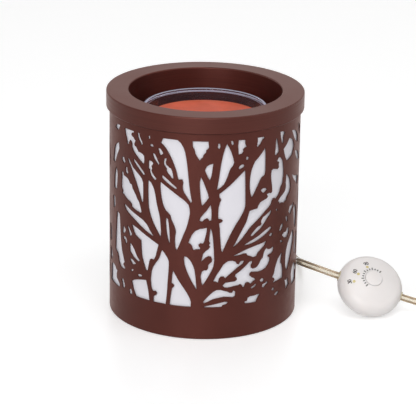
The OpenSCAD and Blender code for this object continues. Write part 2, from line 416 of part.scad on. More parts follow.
  [[-80.4, 54], [-78, 57.4], [-75.2, 54], [-75, 48.6], [-78.4, 45.4]],
  [[83.6, 52], [86.6, 49], [88.6, 42], [88.2, 36], [85.6, 31.6], [83.4, 38], [84.6, 44]],
  [[82.6, 81], [85.8, 79], [88.8, 72], [88, 65.6], [84.6, 60], [82.4, 66], [81.6, 73]],
  [[83.4, 114], [86.6, 111], [89, 104], [88, 97], [85, 92.6], [83.4, 99], [84.4, 106]],
  [[-88.4, 77], [-84, 74.6], [-81.6, 69], [-83, 62], [-86.4, 58.4], [-88.8, 65]],
  [[-87.4, 112], [-83, 109], [-79.4, 102], [-79.6, 95], [-84, 90], [-87, 96], [-88.8, 104]],
  [[69.6, 29], [72, 33], [76, 34.6], [79.6, 31.6], [82.2, 27], [81.4, 21], [71.4, 21]],
  [[-88.4, 31], [-86, 35], [-82.4, 33.4], [-80, 28], [-81.4, 21], [-89, 21]],
  [[75.4, 50], [79, 55], [80.6, 46], [78.6, 39], [74.4, 42]]
];

// General functions
function mixed(a, b, t) = a + (b - a) * t;
function unit(v) = v / norm(v);

// Point at t from b to c on the smooth curve that runs through a, b, c and d
function curve_at(a, b, c, d, t) =
  (2 * b + (c - a) * t + (2 * a - 5 * b + 4 * c - d) * t * t
   + (3 * b - a - 3 * c + d) * t * t * t) / 2;

// Direction of a line at its point i
function heading(line, i) =
  unit(line[min(i + 1, len(line) - 1)] - line[max(i - 1, 0)]);

// One ring of a swept tube: the section's first axis lies across the line and
// square to a given direction, which is upright for a line that lies flat
upright = [0, 0, 1];
function ring_at(line, i, section, square_to = upright) =
  let (d = heading(line, i), across = unit(cross(d, square_to)), up = cross(across, d))
  [for (s = section) line[i] + s[0] * across + s[1] * up];

// Closed tube with a given section along a line
module tube(line, section, square_to = upright) {
  rings = len(line);
  sides = len(section);
  points = [for (i = [0 : rings - 1]) each ring_at(line, i, section, square_to)];
  walls = [
    for (i = [0 : rings - 2], s = [0 : sides - 1])
      let (a = i * sides + s, b = i * sides + (s + 1) % sides)
      each [[a, b, b + sides], [a, b + sides, a + sides]]
  ];
  first_cap = [for (s = [1 : sides - 2]) [0, s + 1, s]];
  top = (rings - 1) * sides;
  last_cap = [for (s = [1 : sides - 2]) [top, top + s, top + s + 1]];
  polyhedron(points, concat(walls, first_cap, last_cap), convexity = 8);
}

// Section of the flat twin cord, standing on edge: two lobes and the groove between
core_r = cord_t / 2;
core_z = cord_w / 2 - core_r;
groove = 0.72;
twin_section = [
  [core_r * groove, 0],
  for (a = [0 : 60 : 180]) [core_r * cos(a), core_z + core_r * sin(a)],
  [-core_r * groove, 0],
  for (a = [180 : 60 : 360]) [core_r * cos(a), -core_z + core_r * sin(a)]
];
// The same cord with six sides, for the many turns of the coil
coil_section = [
  [core_r, -core_z], [core_r, core_z], [0, cord_w / 2],
  [-core_r, core_z], [-core_r, -core_z], [0, -cord_w / 2]
];
function round_section(r) = [for (a = [0 : 60 : 300]) r * [cos(a), sin(a)]];

// Frame of the pod: its face looks along +Z and the cord runs through along X
module on_pod() {
  translate(pod_at) rotate([pod_lean, 0, pod_turn]) rotate([0, 0, pod_cord_turn])
    children();
}
// The cord's direction through the pod, worked out as that frame turns it
pod_axis_x = [cos(pod_turn), sin(pod_turn), 0];
pod_axis_y = [-sin(pod_turn) * cos(pod_lean), cos(pod_turn) * cos(pod_lean), sin(pod_lean)];
pod_way = pod_axis_x * cos(pod_cord_turn) + pod_axis_y * sin(pod_cord_turn);
pod_entry = pod_at - pod_r * pod_way;
pod_exit = pod_at + pod_r * pod_way;

// Square of given corners in a section
module box2(low, high) {
  translate(low) square(high - low);
}

// Copies round the middle axis
module round_axis(radius, angles) {
  for (a = angles) rotate([0, 0, a]) translate([radius, 0, 0]) children();
}

// Room round a screw that passes through a hole
screw_gap = 0.2;
// Screw with its head down and its shank up, from the seat of the head
module screw(shank_r, shank_h, head_r, head_h) {
  cylinder(r = shank_r, h = shank_h, $fn = 32);
  translate([0, 0, -head_h]) cylinder(r = head_r, h = head_h, $fn = 32);
}

// Rim, skirt and well in one moulding, with posts under the well floor
rim_round = 0.8;
rim_t = 3;
skirt_bevel = 0.7;
fillet_r = 3;
skirt_gap = 0.2;
shoulder_in = diffuser_in - 0.6;
well_wall = 2;
module housing_section() {
  rim_in = well_r;
  // Rim with two round edges
  box2([rim_in, body_h - rim_t], [rim_r, body_h - rim_round]);
  box2([rim_in + rim_round, body_h - rim_t], [rim_r - rim_round, body_h]);
  translate([rim_in + rim_round, body_h - rim_round]) circle(rim_round);
  translate([rim_r - rim_round, body_h - rim_round]) circle(rim_round);
  // Skirt, and the shoulder that the sleeve and the diffuser meet
  polygon([
    [sleeve_r + skirt_gap, skirt_low], [rim_r - skirt_bevel, skirt_low],
    [rim_r, skirt_low + skirt_bevel], [rim_r, body_h - rim_t], [sleeve_r + skirt_gap, body_h - rim_t]
  ]);
  box2([shoulder_in, sleeve_top], [sleeve_r + skirt_gap + 0.1, body_h - rim_t]);
  // Well wall, floor ledge and the fillet between them
  polygon([
    [well_r, body_h - rim_round - 0.2], [well_low_r, ledge_low],
    [well_low_r + well_wall, ledge_low], [well_r + well_wall + 0.4, body_h - rim_t]
  ]);
  box2([plate_hole_r, ledge_low], [well_low_r + well_wall / 2, well_floor]);
  translate([well_low_r - fillet_r + 0.3, well_floor]) difference() {
    square([fillet_r, fillet_r]);
    translate([0, fillet_r]) circle(fillet_r);
  }
}
tie_post_h = 13.5;
tie_post_r = 3.5;
clamp_post_r = 3.2;
clamp_shank_r = 1.25;
module top_housing() {
  color(brown) difference() {
    union() {
      rotate_extrude() housing_section();
      round_axis(tie_r, tie_angles)
        translate([0, 0, ledge_low - tie_post_h]) cylinder(r = tie_post_r, h = tie_post_h + 1);
      round_axis(clamp_x, [0, 180])
        translate([0, 0, ear_top]) cylinder(r = clamp_post_r, h = ledge_low - ear_top + 1);
    }
    round_axis(tie_r, tie_angles)
      translate([0, 0, ledge_low - tie_post_h - 1]) cylinder(r = tie_shank_r, h = tie_post_h);
    round_axis(clamp_x, [0, 180])
      translate([0, 0, ear_top - 1]) cylinder(r = clamp_shank_r, h = ledge_low - ear_top);
  }
}

// Aluminium plate that fills the hole in the well floor, with a seat for the fuse
fuse_len = 10;
fuse_lead_r = 0.45;
fuse_lead_end = 9;
seat_w = 5.2;
module heater_plate() {
  color("#c4c6c8") difference() {
    union() {
      translate([0, 0, plate_low]) cylinder(r = plate_r, h = ledge_low - plate_low);
      translate([0, 0, plate_low]) cylinder(r = plate_hole_r - 0.2, h = well_floor - plate_low);
      translate([-fuse_len / 2, fuse_at[1] - seat_w / 2, fuse_at[2]]) cube([fuse_len, seat_w, fuse_r + 1]);
    }
    translate(fuse_at) rotate([0, 90, 0]) cylinder(r = fuse_r, h = 2 * fuse_len, center = true, $fn = 48);
  }
}

module ptc_heater() {
  color("#d8d4cb") translate([0, 0, ptc_low + ptc_size[2] / 2]) cube(ptc_size, center = true);
}

module mica_sheet() {
  color("#c9b98f") translate([0, 0, mica_low + mica_t / 2])
    cube([ptc_size[0] + mica_margin, ptc_size[1] + mica_margin, mica_t], center = true);
}

// Bent steel strip that presses the heater against the plate
strip_step_x = 21;
ear_reach = 5;
clamp_hole_r = 1.5;
module heater_clamp() {
  x1 = strip_step_x;
  x2 = x1 + strip_t;
  x3 = clamp_x + ear_reach;
  color(steel) difference() {
    translate([0, strip_w / 2, 0]) rotate([90, 0, 0]) linear_extrude(strip_w) {
      polygon([[-x2, strip_low], [x2, strip_low], [x2, strip_low + strip_t], [-x2, strip_low + strip_t]]);
      for (s = [-1, 1]) scale([s, 1]) {
        box2([x1, strip_low], [x2, ear_top]);
        box2([x1, ear_top - strip_t], [x3, ear_top]);
      }
    }
    round_axis(clamp_x, [0, 180])
      translate([0, 0, ear_top - 2 * strip_t]) cylinder(r = clamp_hole_r, h = 4 * strip_t, $fn = 32);
  }
}

clamp_screw_h = 5;
clamp_head_r = 2.6;
clamp_head_h = 1.8;
module clamp_screws() {
  color(steel) round_axis(clamp_x, [0, 180])
    translate([0, 0, ear_top - strip_t]) screw(clamp_shank_r, clamp_screw_h, clamp_head_r, clamp_head_h);
}

module thermal_fuse() {
  color("#d9d9d4") translate(fuse_at) rotate([0, 90, 0]) {
    cylinder(r = fuse_r, h = fuse_len, center = true, $fn = 48);
    cylinder(r = fuse_lead_r, h = 2 * fuse_lead_end, center = true, $fn = 24);
  }
}

// Sheet metal sleeve with its cut-outs
flange_w = 2.8;
win_high = body_h - rim_h - band_high;
corner_turn = 50;
straight_enough = 3.5;
function angle_of(p) = p[0] / drawn_r * 180 / PI;
// A point of the drawing, seen square on from a given angle round the sleeve
function seen_from(p, mid) = [
  sleeve_r * sin(angle_of(p) - mid),
  mixed(band_low, win_high, (p[1] - drawn_low) / (drawn_high - drawn_low))
];
// Item i of a closed line, and whether the line turns sharply there
function item(p, i) = p[(i + len(p)) % len(p)];
function turn_at(p, i) =
  let (a = unit(item(p, i) - item(p, i - 1)), b = unit(item(p, i + 1) - item(p, i)))
  acos(max(-1, min(1, a * b)));
function is_corner(p, i) = turn_at(p, i) > corner_turn;
// Closed line through points, smooth between its corners, with one more point on each long side
function smooth_loop(p) = [
  for (i = [0 : len(p) - 1], t = norm(item(p, i + 1) - p[i]) > straight_enough ? [0, 0.5] : [0])
    let (
      a = item(p, is_corner(p, i) ? i : i - 1),
      d = item(p, is_corner(p, i + 1) ? i + 1 : i + 2)
    )
    curve_at(a, p[i], item(p, i + 1), d, t)
];

module cutout(c) {
  places = [for (p = c) p[0]];
  mid = angle_of([(min(places) + max(places)) / 2, 0]);
  rotate([90, 0, mid]) translate([0, 0, sleeve_in * 0.9]) linear_extrude(sleeve_r * 0.2)
    polygon(smooth_loop([for (p = c) seen_from(p, mid)]));
}

module outer_sleeve() {
  color(brown) difference() {
    rotate_extrude() polygon([
      [sleeve_in - flange_w, table_gap], [sleeve_r, table_gap], [sleeve_r, sleeve_top],
      [sleeve_in, sleeve_top], [sleeve_in, seat_z], [sleeve_in - flange_w, seat_z]
    ]);
    for (t = [0 : trees - 1], c = cutouts) rotate([0, 0, t * 360 / trees]) cutout(c);
    gland_hole();
  }
}

module gland_hole() {
  translate([0, 0, gland_z]) rotate([-90, 0, 0]) cylinder(r = gland_r, h = sleeve_r + 2);
}

module diffuser() {
  color(frosted) difference() {
    translate([0, 0, tray_top]) cylinder(r = diffuser_r, h = sleeve_top - tray_top);
    translate([0, 0, tray_top - 1]) cylinder(r = diffuser_in, h = body_h);
    gland_hole();
  }
}

// Base tray: floor, ring wall, posts and vents
tie_foot_r = 4.2;
tie_foot_h = 8;
tie_hole_r = 1.7;
head_gap = 0.3;
board_post_r = 2.6;
board_shank_r = 1.2;
grip_post_r = 2.8;
grip_shank_r = 1.1;
grip_w = 6;
grip_t = 2.2;
vent = [9, 2];
vent_ring = 26;
foot_angles = [45 : 90 : 315];
module base_tray() {
  color(dark_brown) difference() {
    union() {
      translate([0, 0, seat_z]) cylinder(r = diffuser_r, h = tray_floor);
      difference() {
        translate([0, 0, seat_z]) cylinder(r = tray_wall_r, h = tray_wall_top - seat_z);
        translate([0, 0, tray_top]) cylinder(r = tray_wall_in, h = tray_wall_top);
      }
      round_axis(tie_r, tie_angles) translate([0, 0, seat_z]) cylinder(r = tie_foot_r, h = tie_foot_h);
      round_axis(board_ring, board_angles)
        translate([0, 0, seat_z]) cylinder(r = board_post_r, h = board_low - seat_z);
      for (x = [-grip_x, grip_x])
        translate([x, grip_y, seat_z]) cylinder(r = grip_post_r, h = grip_low - seat_z);
      translate([-cord_w / 2, grip_y - grip_w / 2, seat_z])
        cube([cord_w, grip_w, gland_z - cord_w / 2 - seat_z]);
    }
    gland_hole();
    round_axis(tie_r, tie_angles) {
      translate([0, 0, seat_z - 1]) cylinder(r = tie_hole_r, h = 2 * tie_foot_h);
      translate([0, 0, seat_z - 1]) cylinder(r = tie_head_r + head_gap, h = 1 + tie_head_h + head_gap);
    }
    round_axis(foot_ring, foot_angles)
      translate([0, 0, seat_z - 1]) cylinder(r = foot_r, h = 1 + foot_sink);
    round_axis(board_ring, board_angles)
      translate([0, 0, board_low - 7]) cylinder(r = board_shank_r, h = board_low);
    for (x = [-grip_x, grip_x])
      translate([x, grip_y, grip_low - 6]) cylinder(r = grip_shank_r, h = grip_low);
    for (a = [15 : 30 : 345]) rotate([0, 0, a])
      translate([vent_ring, -vent[1] / 2, seat_z - 1]) cube([vent[0], vent[1], tray_floor + 2]);
  }
}

module feet() {
  color("#2b2725") round_axis(foot_ring, foot_angles) {
    cylinder(r1 = foot_r - foot_bevel, r2 = foot_r, h = foot_bevel);
    translate([0, 0, foot_bevel]) cylinder(r = foot_r, h = seat_z + foot_sink - foot_bevel);
  }
}

module tie_screws() {
  seat = seat_z + tie_head_h + head_gap;
  color(steel) round_axis(tie_r, tie_angles)
    translate([0, 0, seat]) screw(tie_shank_r, ledge_low - 2 - seat, tie_head_r, tie_head_h);
}

module led_board() {
  color("#e9ebe6") difference() {
    translate([0, 0, board_low]) cylinder(r = board_r, h = board_t);
    round_axis(board_ring, board_angles)
      translate([0, 0, board_low - 1]) cylinder(r = board_shank_r + screw_gap, h = 4);
  }
}

module led_chips() {
  chip = [3.5, 3.5, 0.9];
  chip_ring = 13;
  dome_r = 1.4;
  dome_h = 0.5;
  color("#f3e9b8") round_axis(chip_ring, [30 : 60 : 330]) translate([0, 0, board_top]) {
    translate([-chip[0] / 2, -chip[1] / 2, 0]) cube(chip);
    translate([0, 0, chip[2]]) cylinder(r = dome_r, h = dome_h, $fn = 32);
  }
}

board_screw_h = 6.5;
board_head_r = 2.2;
board_head_h = 1.5;
module board_screws() {
  color(steel) round_axis(board_ring, board_angles)
    translate([0, 0, board_top]) mirror([0, 0, 1])
      screw(board_shank_r, board_screw_h, board_head_r, board_head_h);
}

module dropper_capacitor() {
  capacitor = [13, 6, 11];
  color("#b5382c") translate([-capacitor[0] / 2, -capacitor[1] / 2, board_top]) cube(capacitor);
}

module terminal_block() {
  well_at = [4.5, -2.6];
  screw_well_r = 1.8;
  screw_well_h = 3;
  color("#e8e6dc") difference() {
    translate(block_at - [block_size[0], block_size[1], 0] / 2) cube(block_size);
    for (s = [-1, 1])
      translate([block_at[0] + s * well_at[0], block_at[1] + well_at[1], block_top - screw_well_h])
        cylinder(r = screw_well_r, h = screw_well_h + 1, $fn = 32);
  }
}

grip_end = 3.5;
module cord_grip() {
  color(dark_brown) difference() {
    translate([-grip_x - grip_end, grip_y - grip_w / 2, grip_low])
      cube([2 * (grip_x + grip_end), grip_w, grip_t]);
    for (x = [-grip_x, grip_x])
      translate([x, grip_y, grip_low - 1]) cylinder(r = grip_shank_r + screw_gap, h = 5, $fn = 32);
  }
}

grip_screw_h = 7.5;
grip_head_r = 2.1;
grip_head_h = 1.5;
module grip_screws() {
  color(steel) for (x = [-grip_x, grip_x])
    translate([x, grip_y, grip_low + grip_t]) mirror([0, 0, 1])
      screw(grip_shank_r, grip_screw_h, grip_head_r, grip_head_h);
}

// Inner end of the cord, from the gland through the grip to the terminal block
module cord_inner() {
  x_end = block_at[0] + block_size[0] / 2;
  color(clear_gold) tube([
    [0, gland_in, gland_z], [0, grip_y + 4, gland_z], [0, grip_y - 4, gland_z],
    [-1, 34, 10.2], [-3, 29.6, 9.3], [x_end + 3, block_at[1], 9.3], [x_end, block_at[1], 9.3]
  ], coil_section);
}

// Tapered strain relief: collars on both sides of the wall and a ribbed tail
collar_r = 6.6;
inner_collar_r = 6.3;
gland_root_r = 5.4;
gland_tip_r = 3.6;
gland_ribs = 5;
rib_step = 4;
rib_t = 1.6;
rib_r = 5.6;
rib_taper = 0.07;
module cord_gland() {
  color(clear_gold) {
    difference() {
      translate([0, 0, gland_z]) rotate([-90, 0, 0]) {
        translate([0, 0, sleeve_r - 3]) cylinder(r = collar_r, h = 5);
        translate([0, 0, sleeve_r]) cylinder(r1 = gland_root_r, r2 = gland_tip_r, h = gland_out - sleeve_r);
        for (y = [rib_step : rib_step : gland_ribs * rib_step])
          translate([0, 0, sleeve_r + y]) cylinder(r = rib_r - y * rib_taper, h = rib_t);
      }
      cylinder(r = sleeve_r, h = 2 * gland_z);
    }
    intersection() {
      translate([0, gland_in, gland_z]) rotate([-90, 0, 0]) cylinder(r = gland_r, h = sleeve_r - gland_in);
      cylinder(r = sleeve_r, h = 2 * gland_z);
    }
    intersection() {
      translate([0, gland_in, gland_z]) rotate([-90, 0, 0]) cylinder(r = inner_collar_r, h = 6);
      cylinder(r = tray_wall_in, h = 2 * gland_z);
    }
  }
}

wire_r = 0.9;
led_wire_r = 0.6;
module heater_leads() {
  ptc_x = ptc_size[0] / 2;
  ptc_z = ptc_low + ptc_size[2] / 2;
  color("#a33a2e") {
    tube([
      [-26, 29, block_top], [-26, 29, 24], [-25, 27, 50], [-22, 22, 80], [-18.5, 18, ptc_z - 7],
      [-14.5, 16.3, fuse_at[2] - 1.2], [-fuse_lead_end - 3, fuse_at[1], fuse_at[2]],
      [-fuse_lead_end, fuse_at[1], fuse_at[2]]
    ], round_section(wire_r), [0, 1, 0]);
    tube([
      [-22, 31, block_top], [-22, 31, 24], [-23, 24, 50], [-24.5, 8, 76], [-25, -4, 88],
      [-24, -9, ptc_z - 5], [-ptc_x - 3, -8, ptc_z], [-ptc_x, -8, ptc_z]
    ], round_section(wire_r), [0, 1, 0]);
    tube([
      [fuse_lead_end, fuse_at[1], fuse_at[2]], [14, 16, fuse_at[2]], [20, 14.5, ptc_z + 0.6],
      [23, 11.5, ptc_z + 0.2], [ptc_x + 3, 8, ptc_z], [ptc_x, 8, ptc_z]
    ], round_section(wire_r));
  }
}

module led_leads() {
  color("#e2ded2") for (x = [-19.5, -12.5])
    tube([
      [x, 25, block_top], [x, 25, 18], [x + 0.6, 22.4, 20.5], [x + 2, 18, 20.4], [x + 2.6, 15, 18.4],
      [x + 2.6, 15, board_top]
    ], round_section(led_wire_r), [1, 0, 0]);
}

// Clear cup with a rolled rim, loose in the well
cup_r = cup_d / 2;
cup_gap = 0.3;
cup_low = well_floor + cup_gap;
cup_floor = 1.6;
cup_taper = 4.4;
cup_foot_r = cup_r - cup_taper;
bead_r = 0.95;
bead_lip = 0.8;
function cup_in_r(z) = mixed(cup_foot_r, cup_r - bead_lip, z / cup_h) - cup_wall;
module wax_cup() {
  color("#dfe3ea", 0.35) translate([0, 0, cup_low]) rotate_extrude() {
    polygon([
      [0, 0], [cup_foot_r, 0], [cup_r - bead_lip, cup_h - bead_r], [cup_in_r(cup_h), cup_h - bead_r],
      [cup_in_r(cup_floor), cup_floor], [0, cup_floor]
    ]);
    translate([cup_r - bead_r, cup_h - bead_r]) circle(bead_r, $fn = 48);
  }
}

module wax() {
  color("#c8492c") translate([0, 0, cup_low + cup_floor])
    rotate_extrude() {
      low_r = cup_in_r(cup_floor);
      top_r = mixed(low_r, cup_in_r(cup_h), wax_h / (cup_h - bead_r - cup_floor));
      polygon([[0, 0], [low_r, 0], [top_r, wax_h], [0, wax_h]]);
    }
}

// Timer pod. Half sections of its outside, drawn in by some wall thickness
module pod_upper_section(inset) {
  shoulder = pod_shoulder - inset;
  side_x = pod_r - pod_shoulder;
  crown = (side_x * side_x + pod_face * pod_face - pod_shoulder * pod_shoulder)
    / (2 * (pod_face - pod_shoulder));
  intersection() {
    translate([0, pod_face - crown]) circle(crown - inset, $fn = 256);
    union() {
      translate([side_x, 0]) circle(shoulder);
      box2([0, 0], [side_x + shoulder * side_x / crown, pod_face]);
    }
    box2([0, 0], [pod_r, pod_face]);
  }
}
module pod_lower_section(inset) {
  intersection() {
    union() {
      translate([pod_side_x, 0]) circle(pod_depth - inset);
      box2([0, inset - pod_depth], [pod_side_x, 0]);
    }
    box2([0, -pod_depth], [pod_r, 0]);
  }
}
module pod_cord_way(r) {
  rotate([0, 90, 0]) cylinder(r = r, h = 2 * pod_d, center = true, $fn = 48);
}

module pod_upper_shell() {
  color(white_plastic) on_pod() difference() {
    union() {
      difference() {
        rotate_extrude() pod_upper_section(0);
        rotate_extrude() pod_upper_section(pod_wall);
      }
      intersection() {
        for (y = [-pod_post_y, pod_post_y])
          translate([0, y, pod_board_top]) cylinder(r = pod_post_r, h = pod_face, $fn = 48);
        rotate_extrude() pod_upper_section(pod_wall / 2);
      }
    }
    translate([0, 0, flange_top]) cylinder(r = button_d / 2 + button_gap, h = pod_face, $fn = 64);
    for (p = lens_places) translate(p) cylinder(r = lens_r, h = pod_d, $fn = 32);
    for (y = [-pod_post_y, pod_post_y])
      translate([0, y, 0]) cylinder(r = pod_shank_r, h = 6.6, $fn = 32);
    pod_cord_way(bush_r);
  }
}

module pod_lower_shell() {
  color(white_plastic) on_pod() difference() {
    union() {
      difference() {
        rotate_extrude() pod_lower_section(0);
        rotate_extrude() pod_lower_section(pod_wall);
      }
      intersection() {
        for (y = [-pod_post_y, pod_post_y])
          translate([0, y, -pod_depth]) cylinder(r = pod_low_post_r, h = pod_depth + pod_board_low, $fn = 48);
        union() {
          rotate_extrude() pod_lower_section(pod_wall / 2);
          cylinder(r = pod_r - 4, h = pod_board_low);
        }
      }
    }
    for (y = [-pod_post_y, pod_post_y]) {
      translate([0, y, -pod_d]) cylinder(r = pod_shank_r + screw_gap, h = 2 * pod_d, $fn = 32);
      translate([0, y, -pod_d]) cylinder(r = pod_head_r + screw_gap, h = pod_d + pod_head_seat, $fn = 32);
    }
    pod_cord_way(bush_r);
  }
}

// Button with the face's own crown, and a flange that keeps it in
module timer_button() {
  r = button_d / 2;
  color(white_plastic) on_pod() {
    intersection() {
      translate([0, 0, flange_top - 0.2]) cylinder(r = r, h = pod_face, $fn = 64);
      translate([0, 0, button_rise]) rotate_extrude() pod_upper_section(0);
    }
    translate([0, 0, flange_low])
      cylinder(r = r + button_flange, h = flange_top - flange_low - 0.1, $fn = 64);
  }
}
module switch_plunger() {
  color("#3a3a3c") on_pod() translate([0, 0, flange_low - plunger_h])
    cylinder(r = plunger_r, h = plunger_h, $fn = 48);
}
module press_switch() {
  color("#4a4a4d") on_pod() difference() {
    translate([-switch_w / 2, -switch_w / 2, pod_board_top]) cube([switch_w, switch_w, switch_h]);
    translate([0, 0, pod_board_top + switch_floor]) cylinder(r = plunger_r + 0.1, h = switch_h, $fn = 48);
  }
}
module pod_board() {
  color("#3f7a4f") on_pod() difference() {
    translate([0, 0, pod_board_low]) cylinder(r = pod_board_r, h = pod_board_t);
    for (y = [-pod_post_y, pod_post_y])
      translate([0, y, 0]) cylinder(r = pod_shank_r + screw_gap, h = pod_face, $fn = 32);
    for (x = [-pod_board_r, pod_board_r])
      translate([x, 0, pod_board_low]) cube([2 * bush_notch, 2 * (bush_r + bush_gap), pod_face], center = true);
  }
}
module timer_relay() {
  relay = [10, 6, 5];
  color("#2d4f8f") on_pod() translate([-relay[0] / 2, -8, pod_board_low - relay[2]]) cube(relay);
}
// Light pipes that end in the face, over the three lights on the board
module indicator_lenses() {
  color("#c9a94e") on_pod() for (p = lens_places) intersection() {
    translate(p + [0, 0, led_top]) cylinder(r = lens_r, h = pod_d, $fn = 32);
    translate([0, 0, 0.15]) rotate_extrude() pod_upper_section(0);
  }
}
module indicator_leds() {
  color("#f1ead0") on_pod() for (p = lens_places)
    translate(p + [-led_w / 2, -led_w / 2, pod_board_top]) cube([led_w, led_w, led_top - pod_board_top]);
}
pod_screw_h = 12.6;
pod_head_h = 1.6;
module pod_screws() {
  color(steel) on_pod() for (y = [-pod_post_y, pod_post_y])
    translate([0, y, pod_head_seat]) screw(pod_shank_r, pod_screw_h, pod_head_r, pod_head_h);
}
// Soft bushes that hold the cord in the parting line
module pod_bushes() {
  color(clear_gold) on_pod() for (s = [-1, 1])
    translate([s * (pod_r - bush_len / 2), 0, 0]) rotate([0, 90, 0])
      cylinder(r = bush_r, h = bush_len, center = true, $fn = 48);
}

// Cord stretches that lie free
module cord_lead() {
  start = [[0, gland_out, gland_z]];
  end = [pod_entry - cord_w * pod_way, pod_entry];
  color(clear_gold) tube(concat(start, lead_route, end), twin_section);
}
module cord_tail() {
  start = [pod_exit, pod_exit + cord_w * pod_way];
  color(clear_gold) tube(concat(start, tail_route, [coil_point(-1)]), twin_section);
}

// Coil: in along the lower layer, up a layer in the half turn where the spiral
// reverses, and out along the upper layer, with a straight end on both sides
coil_count = coil_turns * coil_steps;
function coil_out(i) = coil_r - coil_pitch * (coil_turns / 2 - abs(i - coil_count / 2) / coil_steps);
function coil_rise(i) = max(0, min(1, (i - coil_count / 2) / (coil_steps / 2) + 0.5));
function coil_turn(i) =
  let (a = 360 * i / coil_steps - 90, r = coil_out(i))
  [coil_at[0] + r * cos(a), coil_at[1] + r * sin(a), coil_low + coil_layer * coil_rise(i)];
function coil_point(i) =
  i < 0 ? coil_turn(0) - [cord_w, 0, 0]
  : i > coil_count ? coil_end
  : coil_turn(i);
coil_line = [for (i = [-1 : coil_count + 1]) coil_point(i)];
// Least gap between the surfaces of turns that lie beside or over each other
function gap_between(i, j) = min([
  for (a = ring_at(coil_line, i, coil_section), b = ring_at(coil_line, j, coil_section)) norm(a - b)
]);
coil_gap = min([
  for (i = [1 : coil_count + 1], t = [1 : coil_turns])
    if (i + t * coil_steps <= coil_count + 1) gap_between(i, i + t * coil_steps)
]);
echo(coil_gap = coil_gap);
module cord_coil() {
  color(clear_gold) tube(coil_line, coil_section);
}

// Strap round the turns on the coil's left
module cord_tie() {
  low = [coil_at[0] - coil_r - 1.2, 0.02];
  high = [coil_at[0] - coil_out(coil_count / 2) + 3.2, coil_low + coil_layer + cord_w / 2 + 0.9];
  color("#2f2b2a") translate([0, coil_at[1] + tie_w / 2, 0]) rotate([90, 0, 0]) linear_extrude(tie_w)
    difference() {
      box2(low, high);
      box2(low + [tie_t, tie_t], high - [tie_t, tie_t]);
    }
}

// Plug that lies flat beside the coil: relief, moulded body and two flat blades
plug_size = [24, 27, 15.4];
plug_neck = 10;
plug_slope = 7;
plug_edge = 3;
plug_nose = 2;
relief_len = 24;
relief_tip = [4.2, 6.2];
relief_root = [8, 9];
module plug_block(y, w, h, depth) {
  translate([-w / 2, y, -h / 2]) cube([w, depth, h]);
}
module plug_body() {
  color(clear_gold) translate(coil_end) {
    hull() {
      plug_block(0, relief_tip[0], relief_tip[1], 1);
      plug_block(relief_len - 1, relief_root[0], relief_root[1], 1);
    }
    hull() {
      full = relief_len + plug_slope;
      straight = plug_size[1] - plug_slope - plug_nose;
      plug_block(relief_len, plug_neck, plug_neck, 1);
      plug_block(full, plug_size[0] - plug_edge, plug_size[2], straight);
      plug_block(full, plug_size[0], plug_size[2] - plug_edge, straight);
      plug_block(full, plug_size[0] - plug_edge, plug_size[2] - plug_edge, straight + plug_nose);
    }
  }
}
blade = [1.5, 17, 6.35];
blade_step = 12.7;
blade_tip = 1.5;
blade_hole_y = 12.5;
blade_hole_r = 1.6;
module plug_blades() {
  color("#c9a55a") translate(coil_end + [0, relief_len + plug_size[1], 0])
    for (x = [-blade_step / 2, blade_step / 2]) translate([x - blade[0] / 2, 0, -blade[2] / 2]) difference() {
      union() {
        cube([blade[0], blade[1] - blade_tip, blade[2]]);
        translate([0, 0, blade_tip]) cube([blade[0], blade[1], blade[2] - 2 * blade_tip]);
      }
      translate([-blade[0], blade_hole_y, blade[2] / 2]) rotate([0, 90, 0])
        cylinder(r = blade_hole_r, h = 3 * blade[0], $fn = 32);
    }
}

top_housing();
heater_plate();
ptc_heater();
mica_sheet();
heater_clamp();
clamp_screws();
thermal_fuse();
outer_sleeve();
diffuser();
base_tray();
feet();
tie_screws();
led_board();
led_chips();
board_screws();
dropper_capacitor();
terminal_block();
cord_grip();
grip_screws();
cord_inner();
cord_gland();
heater_leads();
led_leads();
wax_cup();
wax();
pod_upper_shell();
pod_lower_shell();
timer_button();
switch_plunger();
press_switch();
pod_board();
timer_relay();
indicator_lenses();
indicator_leds();
pod_screws();
pod_bushes();
cord_lead();
cord_tail();
cord_coil();
cord_tie();
plug_body();
plug_blades();
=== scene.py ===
"""Electric wax warmer: sleeve, cords, plug, strap, wires, print, finishes and studio round the frame."""

import math

import bmesh
import bpy
from bpy.props import FloatProperty, FloatVectorProperty, PointerProperty
from mathutils import Matrix, Vector
from mathutils.geometry import delaunay_2d_cdt, intersect_line_line_2d


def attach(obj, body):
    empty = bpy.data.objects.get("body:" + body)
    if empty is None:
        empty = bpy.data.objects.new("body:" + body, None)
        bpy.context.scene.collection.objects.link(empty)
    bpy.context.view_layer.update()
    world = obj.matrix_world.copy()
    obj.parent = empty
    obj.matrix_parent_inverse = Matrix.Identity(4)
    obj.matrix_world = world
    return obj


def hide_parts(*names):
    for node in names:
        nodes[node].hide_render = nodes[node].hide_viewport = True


bl_info = {
    "name": "Electric wax warmer",
    "version": (1, 0, 0),
    "blender": (4, 5, 0),
    "location": "3D View > Sidebar > Wax warmer",
    "description": "Dresses the packed wax warmer with a sleeve, cords, wires, print, finishes and a studio",
    "category": "Object",
}

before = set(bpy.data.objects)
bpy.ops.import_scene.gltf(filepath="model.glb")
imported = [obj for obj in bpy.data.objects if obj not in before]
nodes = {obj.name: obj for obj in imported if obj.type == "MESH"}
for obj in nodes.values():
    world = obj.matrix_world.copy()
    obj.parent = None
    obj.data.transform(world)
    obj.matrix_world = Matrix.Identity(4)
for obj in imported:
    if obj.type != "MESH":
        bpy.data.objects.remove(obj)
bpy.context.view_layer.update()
MM = 0.001
UP = Vector((0, 0, 1))
WHITE = (1, 1, 1, 1)

# Picture in pixels, sensor in millimetres, and the camera's reach and the body's middle in metres
PHOTO_W = 416
PHOTO_SHIFT = (4.21, -4.495)
SENSOR_W = 36
CLIP_NEAR, CLIP_FAR = 0.05, 20
BODY_MIDDLE = Vector((0, 0, 0.07))

